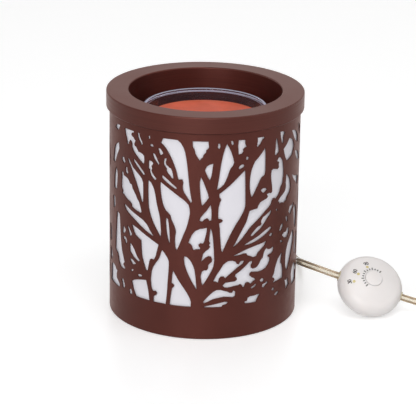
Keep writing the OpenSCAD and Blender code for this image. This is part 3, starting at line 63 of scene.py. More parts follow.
# Floor: half its width in metres, its tone, its roughness, and its glow where it is seen
FLOOR_HALF, FLOOR_TONE, FLOOR_ROUGHNESS, FLOOR_GLOW = 4, 0.82, 0.38, 0.365

# Lamps: name, place and width, in metres
LAMPS = (
    ("key", (-0.45, -1.5, 0.75), 1.2),
    ("top", (0.1, -0.6, 1.5), 1.0),
    ("right", (1.5, -0.5, 0.7), 0.8),
    ("back", (0.3, 1.1, 1.5), 0.9),
)

# Values of a pattern between which a finish changes from one end to the other
CHANGE_FROM, CHANGE_TO = 0.3, 0.7
# Detail of the patterns for colour and gloss and of those for grain, and how far turning marks waver
PATTERN_DETAIL, GRAIN_DETAIL, RING_WAVER = 3, 2, 0.4
PLASTIC_SCALE = 400

# Painted highlight lines near the cup's rim, where the wall is less clear so that its bluish white shows:
# millimetres that they take up below its top, and steps from the lowest place, 0, to the top, 1, with their
# strength. Then transmission and alpha off the lines and on them
CUP_PAINTED_HIGHLIGHTS_DEEP = 3
CUP_PAINTED_HIGHLIGHTS = ((0.30, 0), (0.36, 0.75), (0.44, 0.75), (0.50, 0), (0.84, 0), (0.92, 1))
CUP_TRANSMISSION, CUP_ALPHA = (0.97, 0.5), (0.35, 0.9)

# Flat twin cord: width in millimetres, arc of each lobe in degrees, strands in a core, and the sides of a
# strand and of a wire
CORD_W = 4.6
LOBE_FROM, LOBE_TO, LOBE_STEP = -50, 230, 20
STRANDS, STRAND_SIDES, WIRE_SIDES = 6, 6, 16

# Steps from one point of a route to the next
CORD_STEPS, INNER_STEPS, WIRE_STEPS, TAB_STEPS = 4, 5, 6, 5


def linear(red, green, blue):
    """A colour written as screen values from 0 to 255, in Blender's linear values."""
    def one(value):
        c = value / 255
        return c / 12.92 if c <= 0.04045 else ((c + 0.055) / 1.055) ** 2.4
    return (one(red), one(green), one(blue))


def between(value, low=0, high=1):
    return max(low, min(high, value))


def colour(name, words, value):
    return FloatVectorProperty(name=name, description=words, subtype="COLOR", size=3, min=0, max=1,
                               default=linear(*value))


def length(name, words, value):
    return FloatProperty(name=name, description=words, subtype="DISTANCE", unit="LENGTH", min=0,
                         precision=4, default=value * MM)


def power(name, words, value):
    return FloatProperty(name=name, description=words, unit="POWER", min=0, default=value)


class WarmerFinishes(bpy.types.PropertyGroup):
    """Colours of the warmer's finishes."""

    paint: colour("Brown paint", "Satin brown of the sleeve and the top", (76, 36, 30))
    tray: colour("Base", "Dark brown of the base tray", (58, 36, 31))
    diffuser: colour("Diffuser", "Frosted white behind the cut-outs", (215, 213, 219))
    wax: colour("Wax", "Body colour of the wax", (230, 112, 84))
    cup: colour("Cup", "Tint of the clear cup", (226, 228, 250))
    pod: colour("Pod", "White of the timer pod", (230, 225, 223))
    jacket: colour("Cord jacket", "Tint of the clear cord jacket", (244, 235, 216))
    strands: colour("Cord strands", "Bare strands inside the cord", (158, 130, 92))
    moulding: colour("Mouldings", "Clear gold of the plug, the gland and the bushes", (222, 209, 176))
    ink: colour("Pod print", "Figures and marks on the pod", (48, 42, 40))


class WarmerSizes(bpy.types.PropertyGroup):
    """Sizes of what the scene adds to the solids."""

    sheet_t: length("Sheet thickness", "Thickness of the sleeve's sheet", 0.5)
    cord_w: length("Cord width", "Width of the flat twin cord", CORD_W)
    cord_t: length("Cord thickness", "Thickness of the flat twin cord", 2.4)
    core_lift: length("Core distance", "From the cord's middle to the middle of a core", 1.3)
    strand_r: length("Strand radius", "Radius of one strand in a core", 0.16)
    strand_ring: length("Strand ring", "Radius at which a core's strands wind", 0.3)
    strand_pitch: length("Strand pitch", "Length of one full twist of a core", 22)
    figure_h: length("Figure height", "Height of the figures on the pod", 2.1)
    ink_w: length("Print line", "Width of the printed lines on the pod", 0.48)
    mark_w: length("Scale mark", "Width of the printed marks round the button", 0.65)
    heater_wire_r: length("Heater wire", "Radius of the heater's wires", 0.9)
    light_wire_r: length("Light wire", "Radius of the light's wires", 0.6)
    strap_w: length("Strap width", "Width of the strap round the coil", 8)
    strap_t: length("Strap thickness", "Thickness of the strap round the coil", 0.5)


class WarmerStudio(bpy.types.PropertyGroup):
    """Camera and light."""

    distance: length("Camera distance", "From the camera to the middle of the body", 1221.134)
    elevation: FloatProperty(name="Camera elevation", description="Above the horizon",
                             subtype="ANGLE", default=math.radians(19.642))
    roll: FloatProperty(name="Camera roll", description="Turn of the picture", subtype="ANGLE",
                        default=math.radians(0.923))
    focal_px: FloatProperty(name="Focal length", description="In pixels of the picture",
                            subtype="PIXEL", default=1982.184)
    key: power("Key lamp", "Large lamp at the front, a little to the left", 15)
    top: power("Top lamp", "Lamp above", 8.5)
    right: power("Right lamp", "Weak lamp at the right", 3)
    back: power("Back lamp", "Weak lamp behind", 3)
    sky: FloatProperty(name="Sky", description="Light from all round", subtype="FACTOR", min=0, max=1,
                       default=0.25)


def finishes():
    return bpy.context.scene.warmer_finishes


def sizes():
    return bpy.context.scene.warmer_sizes


# Materials

class Finish:
    """A procedural material on one principled shader, built step by step."""

    def __init__(self, name, base, roughness, **values):
        self.material = bpy.data.materials.new(name)
        self.material.use_nodes = True
        self.tree = self.material.node_tree
        self.shader = self.tree.nodes["Principled BSDF"]
        self.base = base
        self.set("Base Color", (*base, 1))
        self.set("Roughness", roughness)
        for socket, value in values.items():
            self.set(socket.replace("_", " "), value)
        self.place = self.tree.nodes.new("ShaderNodeTexCoord").outputs["Object"]

    def set(self, socket, value):
        self.shader.inputs[socket].default_value = value

    def node(self, kind, **settings):
        made = self.tree.nodes.new(kind)
        for key, value in settings.items():
            setattr(made, key, value)
        return made

    def join(self, out, into):
        self.tree.links.new(out, into)

    def stretched(self, scale):
        """Coordinates scaled differently along each axis."""
        mapping = self.node("ShaderNodeMapping")
        mapping.inputs["Scale"].default_value = scale
        self.join(self.place, mapping.inputs["Vector"])
        return mapping.outputs["Vector"]

    def noise(self, scale, detail, place=None):
        made = self.node("ShaderNodeTexNoise")
        made.inputs["Scale"].default_value = scale
        made.inputs["Detail"].default_value = detail
        self.join(place or self.place, made.inputs["Vector"])
        return made.outputs["Fac"]

    def ramp(self, value, low, high):
        """Colours between two for a value."""
        made = self.node("ShaderNodeValToRGB")
        for element, place, tone in zip(made.color_ramp.elements, (CHANGE_FROM, CHANGE_TO), (low, high)):
            element.position = place
            element.color = (*tone, 1)
        self.join(value, made.inputs["Fac"])
        return made.outputs["Color"]

    def span(self, value, low, high):
        """Numbers between two for a value."""
        made = self.node("ShaderNodeMapRange")
        made.inputs["From Min"].default_value = CHANGE_FROM
        made.inputs["From Max"].default_value = CHANGE_TO
        made.inputs["To Min"].default_value = low
        made.inputs["To Max"].default_value = high
        self.join(value, made.inputs["Value"])
        return made.outputs["Result"]

    def mottle(self, scale, amount, place=None):
        """Slight change of the colour from place to place."""
        low = [c * (1 - amount) for c in self.base]
        high = [min(1, c * (1 + amount)) for c in self.base]
        pattern = self.noise(scale, PATTERN_DETAIL, place)
        self.join(self.ramp(pattern, low, high), self.shader.inputs["Base Color"])
        return self

    def uneven_gloss(self, scale, low, high, place=None):
        """Roughness that changes from place to place."""
        pattern = self.noise(scale, PATTERN_DETAIL, place)
        self.join(self.span(pattern, low, high), self.shader.inputs["Roughness"])
        return self

    def relief(self, height, distance, strength):
        """Bump from a height value, as deep as the distance in metres."""
        made = self.node("ShaderNodeBump")
        made.inputs["Strength"].default_value = strength
        made.inputs["Distance"].default_value = distance
        self.join(height, made.inputs["Height"])
        self.join(made.outputs["Normal"], self.shader.inputs["Normal"])
        return self

    def grain(self, scale, distance, strength, place=None):
        return self.relief(self.noise(scale, GRAIN_DETAIL, place), distance, strength)

    def rings(self, scale, distance, strength):
        """Turning marks round the middle axis."""
        made = self.node("ShaderNodeTexWave", wave_type="RINGS", rings_direction="Z")
        made.inputs["Scale"].default_value = scale
        made.inputs["Distortion"].default_value = RING_WAVER
        self.join(self.place, made.inputs["Vector"])
        return self.relief(made.outputs["Fac"], distance, strength)


def wear(piece, finish):
    """Gives a piece or a solid one finish."""
    piece.data.materials.clear()
    piece.data.materials.append(finish.material)


# Shapes

def new_piece(name):
    piece = bpy.data.objects.new(name, bpy.data.meshes.new(name))
    bpy.context.scene.collection.objects.link(piece)
    return piece


def fixed_piece(name, bm, finish, slot, shade_smooth=True):
    """Piece that stays with the warmer, made from a bmesh."""
    piece = new_piece(name)
    fill(piece, bm, shade_smooth)
    wear(piece, finish)
    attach(piece, "warmer")
    return piece


def fill(piece, bm, shade_smooth):
    bmesh.ops.recalc_face_normals(bm, faces=bm.faces)
    bm.to_mesh(piece.data)
    bm.free()
    if shade_smooth:
        for face in piece.data.polygons:
            face.use_smooth = True


def curve_point(a, b, c, d, t):
    """Point between b and c of a smooth line through four points."""
    return (2 * b + (c - a) * t + (2 * a - 5 * b + 4 * c - d) * t * t
            + (3 * b - a - 3 * c + d) * t * t * t) / 2


def smooth_path(points, steps):
    """Smooth line through points."""
    last = len(points) - 1
    line = []
    for i in range(last):
        around = [points[max(0, i - 1)], points[i], points[i + 1], points[min(last, i + 2)]]
        line += [curve_point(*around, s / steps) for s in range(steps)]
    return line + [points[last]]


def path_length(path):
    return sum((b - a).length for a, b in zip(path, path[1:]))


def frames_along(path, square_to, closed=False):
    """Each point's place with the direction across the line and the direction up."""
    last = len(path) - 1
    for i, place in enumerate(path):
        after = path[(i + 1) % (last + 1)] if closed else path[min(i + 1, last)]
        before = path[i - 1] if closed else path[max(i - 1, 0)]
        ahead = after - before
        across = ahead.cross(square_to).normalized()
        yield place, across, across.cross(ahead).normalized()


def wall(bm, low, high):
    """Faces between two rings of points."""
    count = len(low)
    for s in range(count):
        t = (s + 1) % count
        bm.faces.new((low[s], low[t], high[t], high[s]))


def sweep(bm, path, section, square_to=UP, closed=False):
    """Tube with a section of (across, up) points along a path."""
    rings = [[bm.verts.new(place + s[0] * across + s[1] * up) for s in section]
             for place, across, up in frames_along(path, square_to, closed)]
    pairs = list(zip(rings, rings[1:])) + ([(rings[-1], rings[0])] if closed else [])
    for low, high in pairs:
        wall(bm, low, high)
    if not closed:
        bm.faces.new(rings[0])
        bm.faces.new(rings[-1])


def turns(sides):
    return [2 * math.pi * k / sides for k in range(sides)]


def circle(radius, sides):
    return [(radius * math.cos(a), radius * math.sin(a)) for a in turns(sides)]


def flat_section(width, low, high):
    return [(-width / 2, low), (width / 2, low), (width / 2, high), (-width / 2, high)]


def squared_section(half_w, half_h, squareness):
    """Outline between an ellipse and a rectangle."""
    def bulge(value):
        return math.copysign(abs(value) ** (2 / squareness), value)
    return [(half_w * bulge(math.cos(a)), half_h * bulge(math.sin(a))) for a in turns(PLUG_SIDES)]


def loft(bm, rings):
    """Closed skin through rings of points."""
    made = [[bm.verts.new(p) for p in ring] for ring in rings]
    for low, high in zip(made, made[1:]):
        wall(bm, low, high)
    bm.faces.new(made[0])
    bm.faces.new(made[-1])


def twin_section(width, thickness):
    """Outline of the flat twin cord standing on edge: two round lobes with a groove on each side."""
    r = thickness / 2
    lift = width / 2 - r
    arc = [math.radians(a) for a in range(LOBE_FROM, LOBE_TO + 1, LOBE_STEP)]
    upper = [(r * math.cos(a), lift + r * math.sin(a)) for a in arc]
    lower = [(-x, -y) for x, y in upper]
    return upper + lower


# Cord routes, the same as in the part's source, in millimetres

POD_AT = Vector((104, -8, 16.08011))
POD_WAY = Vector((0.952530, -0.095635, -0.289036))
POD_UP = Vector((0.180001, -0.588763, 0.788011))
POD_R, POD_FACE, POD_CROWN = 20.5, 10, 42.55
POD_ENTRY = POD_AT - POD_R * POD_WAY
POD_EXIT = POD_AT + POD_R * POD_WAY
GLAND_END = Vector((0, 82, 11))
LEAD_ROUTE = [
    (0, 92, 11), (1.5, 102, 8.8), (6, 111, 5.2), (14, 118, 3.2), (24, 121, 2.6),
    (34.5, 119, 2.6), (43.5, 113.5, 2.6), (50, 105, 2.6), (54, 95, 2.6), (57.2, 85, 2.6),
    (60.4, 75.5, 2.6), (63.2, 66, 3.4), (64.8, 56.5, 6), (64.4, 46.5, 9.9), (62.4, 36.5, 14.3),
    (60.1, 26, 19), (59.2, 16.5, 22.8), (61, 7.5, 25.5), (65.4, 1.1, 26.2), (71.7, -3.4, 25.6),
]
TAIL_ROUTE = [(138.6, -11.4, 6), (149, -12.2, 4.2), (159.5, -12.3, 3.2), (169.5, -12, 3)]
COIL_AT = (185, 26)
COIL_R, COIL_TURNS, COIL_PITCH, COIL_LOW, COIL_LAYER = 38, 7.25, 3.3, 3.0, 5.2
# Steps for each turn of the coil, and the turns in which it climbs to its upper layer
COIL_STEPS, COIL_CLIMB = 60, 0.5
COIL_END = Vector((COIL_AT[0] + COIL_R, COIL_AT[1] + CORD_W, COIL_LOW + COIL_LAYER))
INNER_ROUTE = [(0, 51.5, 11), (0, 47, 11), (0, 39, 11), (-1, 34, 10.2), (-3, 29.6, 9.3), (-8, 28, 9.3),
               (-11, 28, 9.3)]

# Wires inside the body, in millimetres
HEATER_ROUTES = [
    [(-26, 29, 13.7), (-26, 29, 24), (-25, 27, 50), (-22, 22, 80), (-18.5, 18, 93), (-14.5, 16.3, 99.6),
     (-12, 16, 100.8), (-9, 16, 100.8)],
    [(-22, 31, 13.7), (-22, 31, 24), (-23, 24, 50), (-24.5, 8, 76), (-25, -4, 88), (-24, -9, 95),
     (-20, -8, 100), (-17, -8, 100)],
    [(9, 16, 100.8), (14, 16, 100.8), (20, 14.5, 100.6), (23, 11.5, 100.2), (20, 8, 100), (17, 8, 100)],
]
LIGHT_ROUTES = [
    [(x, 25, 13.7), (x, 25, 18), (x + 0.6, 22.4, 20.5), (x + 2, 18, 20.4), (x + 2.6, 15, 18.4),
     (x + 2.6, 15, 16.1)] for x in (-19.5, -12.5)
]
# Direction that no wire runs along, which their sections are squared to
WIRE_SIDE = Vector((0.31, 0.57, 0.76))

# Points round the plug, and steps along its relief and its grip
PLUG_SIDES, RELIEF_STEPS, GRIP_STEPS = 48, 64, 48
# Plug along the cord's end, in millimetres: relief with ribs, neck, grip and nose
PLUG_RELIEF, RIB_FROM, RIB_TO, RIB_STEP, RIB_DEEP, RIB_STEEP = 24, 2.5, 22.5, 3.4, 0.55, 2.5
# Relief's half width and half height at the cord, and what each gains up to the neck
RELIEF_W, RELIEF_H, RELIEF_SQUARENESS = (2.1, 1.9), (3.1, 1.4), 2.4
# Distance, half width, half height and, in the neck, squareness
PLUG_NECK = ((24, 4.6, 4.8, 2.4), (25, 5, 5, 2.4), (27, 6.6, 5.9, 2.7), (29, 9, 6.9, 3.2), (31, 11, 7.5, 3.7),
             (32.5, 11.8, 7.68, 4))
PLUG_NOSE = ((48.5, 12, 7.7), (50.2, 11.75, 7.4), (50.8, 11.3, 7.0), (51, 10.8, 6.6))
GRIP_FROM, GRIP_TO, GRIP_COUNT, GRIP_DEEP = 33.5, 47, 6, 0.45
GRIP_HALF_W, GRIP_HALF_H, GRIP_WAIST, GRIP_SQUARENESS = 12, 7.7, 0.7, 4

# Strap round the coil, in millimetres: lowest and highest (x, z) of its middle line, its corners' radius
# and the degrees between a corner's points
STRAP_LOW, STRAP_HIGH, STRAP_ROUND, STRAP_BEND = (146.95, 0.3), (160.25, 11.05), 1.85, 15
# Loose end of the strap: (x, z) from its low side and then from its high side, and its share of the width
TAB_START = ((2, 0), (5, 0), (8, 0))
TAB_END = ((-2.2, 0), (-0.6, -0.4), (0.3, -1.6), (0.5, -3.4), (0.5, -6))
TAB_SHARE = 0.92

# Print on the pod, in millimetres and degrees of the pod's own frame
FIGURES = (("30", (-13.6, -6.5)), ("60", (-12.25, 1.5)), ("90", (-6.8, 9.5)))
INK_SINK, INK_RISE = 0.06, 0.05
SCALE_R, SCALE_LONG, SCALE_SHORT = 6.1, 1.7, 1.2
# Degrees of the first and the last mark, number of marks, and how many from one long mark to the next
SCALE_FROM, SCALE_TO, SCALE_MARKS, SCALE_EVERY = 245, 65, 13, 3
# Width of a figure's box and the step to the next, where the height is 1
FIGURE_W, FIGURE_STEP = 0.6, 0.72
# Fewest points of a stroke's arc, and degrees between them
ARC_LEAST, ARC_BEND = 6, 15

# Sleeve, in millimetres: the solid's sheet, the height above which openings are the trees', the least room
# from an opening to a free point, and how far past an opening it is looked for
SOLID_SHEET, TREES_ABOVE, OPENING_ROOM, OPENING_REACH = 0.8, 19, 0.7, 1
# Columns and rows of points on each half of the sheet
SHEET_COLUMNS, SHEET_ROWS = 60, 20
# Greatest slant reckoned for the sheet's edge, where the shift ends, and the angle before that in which it
# fades
MOST_SLANT, SEAM_NEAR, SEAM_FADE = math.radians(77), math.radians(84), math.radians(12)
# Change of a side's direction, as a cosine, over which its shift grows from none to all
SIDE_BLEND = 0.6
# Parts of the shift that are tried, until an opening doesn't cross itself
SHIFTS = (1, 0.5, 0)
# Cosine from which a face looks outwards, and the angle from which an edge is sharp
OUTWARDS, SHARP_FROM = 0.9, math.radians(30)
# Lengths that count as none: on the solid, between points, when the sheet is cut, and squared
ON_FACE, SAME_PLACE, CUT_EXACT, NO_SQUARE = 1e-5, 1e-6, 1e-9, 1e-12
# Decimal places to which two corners of the sheet are one
CORNER_PLACES = 7


def metres(points):
    return [Vector(p) * MM for p in points]


def lead_path():
    points = [GLAND_END, *LEAD_ROUTE, POD_ENTRY - CORD_W * POD_WAY, POD_ENTRY]
    return smooth_path(metres(points), CORD_STEPS)


def coil_point(turn):
    """Point of the coil after some turns: in on the lower layer, out on the upper one."""
    half = COIL_TURNS / 2
    angle = 2 * math.pi * turn - math.pi / 2
    r = COIL_R - COIL_PITCH * (half - abs(turn - half))
    rise = between((turn - half) / COIL_CLIMB + 0.5)
    return (COIL_AT[0] + r * math.cos(angle), COIL_AT[1] + r * math.sin(angle),
            COIL_LOW + COIL_LAYER * rise)


def tail_path():
    start = [POD_EXIT, POD_EXIT + CORD_W * POD_WAY, *TAIL_ROUTE]
    first = Vector(coil_point(0))
    tail = smooth_path(metres([*start, first - Vector((CORD_W, 0, 0)), first]), CORD_STEPS)[:-1]
    count = round(COIL_TURNS * COIL_STEPS)
    coil = metres([coil_point(i / COIL_STEPS) for i in range(count + 1)] + [COIL_END])
    return tail + coil


def pod_point(x, y):
    """Point on the pod's crowned face, from millimetres of the pod's own frame."""
    z = POD_FACE - POD_CROWN + math.sqrt(POD_CROWN * POD_CROWN - x * x - y * y)
    return POD_AT + x * POD_WAY + y * POD_UP.cross(POD_WAY) + z * POD_UP


# Finishes by name

def satin_paint(name):
    return Finish(name, finishes().paint, 0.38, Metallic=0.6, Specular_Tint=(0.85, 0.65, 0.6, 1),
                  Specular_IOR_Level=0.35, Coat_Weight=0.06, Coat_Roughness=0.2)


def sheet_paint():
    """Paint on the cut sheet, with a fine even orange peel."""
    made = satin_paint("sheet_brown_paint").mottle(60, 0.06)
    made.uneven_gloss(240, 0.34, 0.42)
    return made.grain(2600, 0.00003, 0.35)


def spun_paint():
    """Paint on the turned top, with faint streaks round the axis."""
    made = satin_paint("spun_brown_paint")
    streaks = made.stretched((16, 16, 1400))
    made.mottle(1, 0.1, place=streaks)
    made.uneven_gloss(1, 0.3, 0.42, place=streaks)
    made.set("Metallic", 0.55)
    made.set("Specular IOR Level", 0.42)
    return made.grain(1, 0.00002, 0.3, place=streaks)


def base_plastic():
    return Finish("dark_base_plastic", finishes().tray, 0.55).mottle(90, 0.08).grain(1800, 0.00006, 0.5)


def foot_rubber():
    return Finish("foot_rubber", linear(40, 37, 35), 0.85).mottle(300, 0.15).grain(1500, 0.0001, 0.5)


def frosted_sheet():
    # The emission is a weak painted glow in the diffuser's own white, which evens out the shade along the
    # cut-outs' edges
    made = Finish("frosted_sheet", finishes().diffuser, 0.6, Specular_IOR_Level=0.3,
                  Emission_Color=(*finishes().diffuser, 1), Emission_Strength=0.06)
    made.mottle(40, 0.012)
    return made.grain(3000, 0.00002, 0.4)


def clear_cup():
    """Clear wall, with a painted highlight line along the rolled rim and another painted highlight line just
    below it.
    """
    made = Finish("clear_cup", finishes().cup, 0.03, IOR=1.25, Specular_IOR_Level=0.25)
    top = max(v.co.z for v in nodes["wax_cup"].data.vertices)
    apart = made.node("ShaderNodeSeparateXYZ")
    made.join(made.place, apart.inputs["Vector"])
    height = made.node("ShaderNodeMapRange")
    height.inputs["From Min"].default_value = top - CUP_PAINTED_HIGHLIGHTS_DEEP * MM
    height.inputs["From Max"].default_value = top
    made.join(apart.outputs["Z"], height.inputs["Value"])
    lines = made.node("ShaderNodeValToRGB")
    for place, tone in CUP_PAINTED_HIGHLIGHTS:
        lines.color_ramp.elements.new(place).color = (tone, tone, tone, 1)
    made.join(height.outputs["Result"], lines.inputs["Fac"])
    for socket, ends in (("Transmission Weight", CUP_TRANSMISSION), ("Alpha", CUP_ALPHA)):
        made.join(made.span(lines.outputs["Color"], *ends), made.shader.inputs[socket])
    return made.uneven_gloss(120, 0.015, 0.05)


def melt_wax():
    made = Finish("melt_wax", finishes().wax, 0.25, Subsurface_Weight=0.35, Subsurface_Scale=0.004,
                  Subsurface_Radius=(1.0, 0.35, 0.2))
    made.mottle(70, 0.1)
    return made.grain(140, 0.0004, 0.35)


def pod_plastic(name, grain_scale, grain_depth):
    made = Finish(name, finishes().pod, 0.36, Subsurface_Weight=0.25, Subsurface_Scale=0.002,
                  Subsurface_Radius=(1.0, 0.9, 0.8))
    made.mottle(120, 0.012)
    return made.grain(grain_scale, grain_depth, 0.3)


def clear_jacket():
    made = Finish("clear_cord_jacket", finishes().jacket, 0.12, Transmission_Weight=0.85, IOR=1.48)
    return made.uneven_gloss(300, 0.08, 0.2)


def core_strands():
    made = Finish("core_strands", finishes().strands, 0.4, Metallic=0.6)
    return made.mottle(900, 0.15).uneven_gloss(700, 0.32, 0.5)


def moulded_gold():
    """Clear gold moulding of the plug, the gland and the bushes."""
    made = Finish("moulded_gold_plastic", finishes().moulding, 0.25, Transmission_Weight=0.35, IOR=1.5)
    made.mottle(150, 0.08)
    return made.grain(1200, 0.00004, 0.4)


def printed_ink():
    return Finish("printed_ink", finishes().ink, 0.5).mottle(1500, 0.2).grain(4000, 0.00001, 0.3)


def woven_strap():
    made = Finish("woven_strap", linear(52, 49, 48), 0.75, Sheen_Weight=0.2)
    made.mottle(900, 0.25)
    return made.grain(2400, 0.0001, 0.7)


def metal(name, tone, roughness, scale):
    made = Finish(name, linear(*tone), roughness, Metallic=1.0)
    made.mottle(scale, 0.08)
    return made.uneven_gloss(scale * 2, roughness * 0.8, roughness * 1.25)


def plastic(name, tone, roughness):
    made = Finish(name, linear(*tone), roughness)
    made.mottle(PLASTIC_SCALE, 0.06)
    return made.grain(PLASTIC_SCALE * 4, 0.00003, 0.4)


# Operators

class WARMER_OT_stage(bpy.types.Operator):
    """Make the floor, the light and the camera"""

    bl_idname = "warmer.stage"
    bl_label = "Stage"

    def execute(self, context):
        studio = context.scene.warmer_studio
        self.world(context, studio.sky)
        self.floor()
        self.lamps(context, studio)
        self.camera(context, studio)
        context.scene.view_settings.view_transform = "Standard"
        return {"FINISHED"}

    def seen_directly(self, tree, low, high):
        """One number for rays that light a surface, another for the camera's.

        Rays that a glossy or a clear piece sends on count as the camera's.
        """
        path = tree.nodes.new("ShaderNodeLightPath")
        total = path.outputs["Is Camera Ray"]
        for name in ("Is Glossy Ray", "Is Transmission Ray"):
            most = tree.nodes.new("ShaderNodeMath")
            most.operation = "MAXIMUM"
            tree.links.new(total, most.inputs[0])
            tree.links.new(path.outputs[name], most.inputs[1])
            total = most.outputs[0]
        pick = tree.nodes.new("ShaderNodeMapRange")
        pick.inputs["To Min"].default_value = low
        pick.inputs["To Max"].default_value = high
        tree.links.new(total, pick.inputs["Value"])
        return pick.outputs["Result"]

    def world(self, context, sky):
        world = bpy.data.worlds.new("studio")
        context.scene.world = world
        world.use_nodes = True
        tree = world.node_tree
        light = tree.nodes["Background"]
        light.inputs["Color"].default_value = WHITE
        tree.links.new(self.seen_directly(tree, sky, 1.0), light.inputs["Strength"])

    def floor(self):
        bm = bmesh.new()
        bmesh.ops.create_grid(bm, x_segments=2, y_segments=2, size=FLOOR_HALF)
        floor = new_piece("floor")
        fill(floor, bm, False)
        made = Finish("floor_white", (FLOOR_TONE, FLOOR_TONE, FLOOR_TONE), FLOOR_ROUGHNESS,
                      Specular_IOR_Level=1.0, Emission_Color=WHITE)
        made.join(self.seen_directly(made.tree, 0.0, FLOOR_GLOW), made.shader.inputs["Emission Strength"])
        wear(floor, made)

    def lamps(self, context, studio):
        for name, place, size in LAMPS:
            data = bpy.data.lights.new(name, "AREA")
            data.size = size
            data.energy = getattr(studio, name)
            lamp = bpy.data.objects.new(name, data)
            lamp.location = place
            lamp.rotation_euler = (BODY_MIDDLE - Vector(place)).to_track_quat("-Z", "Y").to_euler()
            context.scene.collection.objects.link(lamp)

    def camera(self, context, studio):
        back = Vector((0, -math.cos(studio.elevation), math.sin(studio.elevation)))
        right = Vector((1, 0, 0))
        up = back.cross(right)
        c, s = math.cos(studio.roll), math.sin(studio.roll)
        turned_right, turned_up = c * right + s * up, c * up - s * right
        data = bpy.data.cameras.new("photo_camera")
        data.sensor_width = SENSOR_W
        data.lens = studio.focal_px / PHOTO_W * SENSOR_W
        data.shift_x = PHOTO_SHIFT[0] / PHOTO_W
        data.shift_y = PHOTO_SHIFT[1] / PHOTO_W
        data.clip_start, data.clip_end = CLIP_NEAR, CLIP_FAR
        camera = bpy.data.objects.new("photo_camera", data)
        place = Matrix((turned_right, turned_up, back)).transposed().to_4x4()
        place.translation = BODY_MIDDLE + studio.distance * back
        camera.matrix_world = place
        context.scene.collection.objects.link(camera)
        context.scene.camera = camera


class WARMER_OT_pod_print(bpy.types.Operator):
    """Print plain figures and a scale of plain marks on the pod's face"""

    bl_idname = "warmer.pod_print"
    bl_label = "Pod print"

    # Strokes of a figure in its box: the arc's middle, half width, half height, start and turn
    BOWL = (0.3, 0.3, 0.28, 0.3, 0, 360)
    STROKES = {
        "0": [(0.3, 0.5, 0.28, 0.5, 0, 360)],
        "3": [(0.3, 0.75, 0.25, 0.25, 150, -240), (0.3, 0.26, 0.29, 0.26, 90, -240)],
        "6": [BOWL, (0.62, 0.3, 0.6, 0.7, 180, -75)],
    }

    def arc(self, x, y, half_w, half_h, start, turn):
        steps = max(ARC_LEAST, round(abs(turn) / ARC_BEND))
        angles = [math.radians(start + turn * k / steps) for k in range(steps + 1)]
        return [(x + half_w * math.cos(a), y + half_h * math.sin(a)) for a in angles]

    def figure(self, digit):
        if digit == "9":
            return [[(FIGURE_W - x, 1 - y) for x, y in line] for line in self.figure("6")]
        return [self.arc(*stroke) for stroke in self.STROKES[digit]]

    def line(self, bm, points, width):
        closed = math.dist(points[0], points[-1]) < SAME_PLACE
        path = metres([pod_point(x, y) for x, y in (points[:-1] if closed else points)])
        sweep(bm, path, flat_section(width, -INK_SINK * MM, INK_RISE * MM), POD_UP, closed)

    def number(self, bm, digits, middle):
        """Figures that stand with their tops away from the button."""
        size = sizes().figure_h / MM
        top = Vector(middle).normalized()
        along = Vector((top.y, -top.x))
        for k, digit in enumerate(digits):
            left = (k - len(digits) / 2) * FIGURE_STEP + (FIGURE_STEP - FIGURE_W) / 2
            for stroke in self.figure(digit):
                self.line(bm, [Vector(middle) + size * ((left + x) * along + (y - 0.5) * top)
                               for x, y in stroke], sizes().ink_w)

    def execute(self, context):
        bm = bmesh.new()
        for digits, middle in FIGURES:
            self.number(bm, digits, middle)
        for k in range(SCALE_MARKS):
            angle = math.radians(SCALE_FROM + (SCALE_TO - SCALE_FROM) * k / (SCALE_MARKS - 1))
            way = Vector((math.cos(angle), math.sin(angle)))
            reach = SCALE_LONG if k % SCALE_EVERY == 0 else SCALE_SHORT
            self.line(bm, [way * SCALE_R, way * (SCALE_R + reach)], sizes().mark_w)
        fixed_piece("pod_print", bm, printed_ink(), "black_plastic", False)
        return {"FINISHED"}


class WARMER_OT_plug(bpy.types.Operator):
    """Make the moulded plug with its ribbed relief"""

    bl_idname = "warmer.plug"
    bl_label = "Plug"

    def relief(self):
        """Distance from the cord's end, half width, half height and squareness, in millimetres."""
        for k in range(RELIEF_STEPS):
            t = k / RELIEF_STEPS
            y = PLUG_RELIEF * t
            rib = math.cos(2 * math.pi * (y - RIB_FROM) / RIB_STEP)
            cut = RIB_DEEP * between(0.5 + RIB_STEEP * rib) if RIB_FROM < y < RIB_TO else 0
            half_w = RELIEF_W[0] + RELIEF_W[1] * t - cut
            half_h = RELIEF_H[0] + RELIEF_H[1] * t - cut
            yield y, half_w, half_h, RELIEF_SQUARENESS

    def body(self):
        """The same from the neck to the nose."""
        yield from PLUG_NECK
        for k in range(GRIP_STEPS + 1):
            t = k / GRIP_STEPS
            ripple = GRIP_DEEP * (1 - math.cos(2 * math.pi * GRIP_COUNT * t)) / 2
            waist = GRIP_WAIST * math.sin(math.pi * t)
            y = GRIP_FROM + (GRIP_TO - GRIP_FROM) * t
            yield y, GRIP_HALF_W - waist - ripple, GRIP_HALF_H - ripple, GRIP_SQUARENESS
        for y, half_w, half_h in PLUG_NOSE:
            yield y, half_w, half_h, GRIP_SQUARENESS

    def execute(self, context):
        rings = []
        for y, half_w, half_h, squareness in (*self.relief(), *self.body()):
            outline = squared_section(half_w, half_h, squareness)
            rings.append(metres([COIL_END + Vector((x, y, z)) for x, z in outline]))
        bm = bmesh.new()
        loft(bm, rings)
        plug = fixed_piece("plug", bm, moulded_gold(), "cord_gold")
        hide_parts("plug_body")
        return {"FINISHED"}


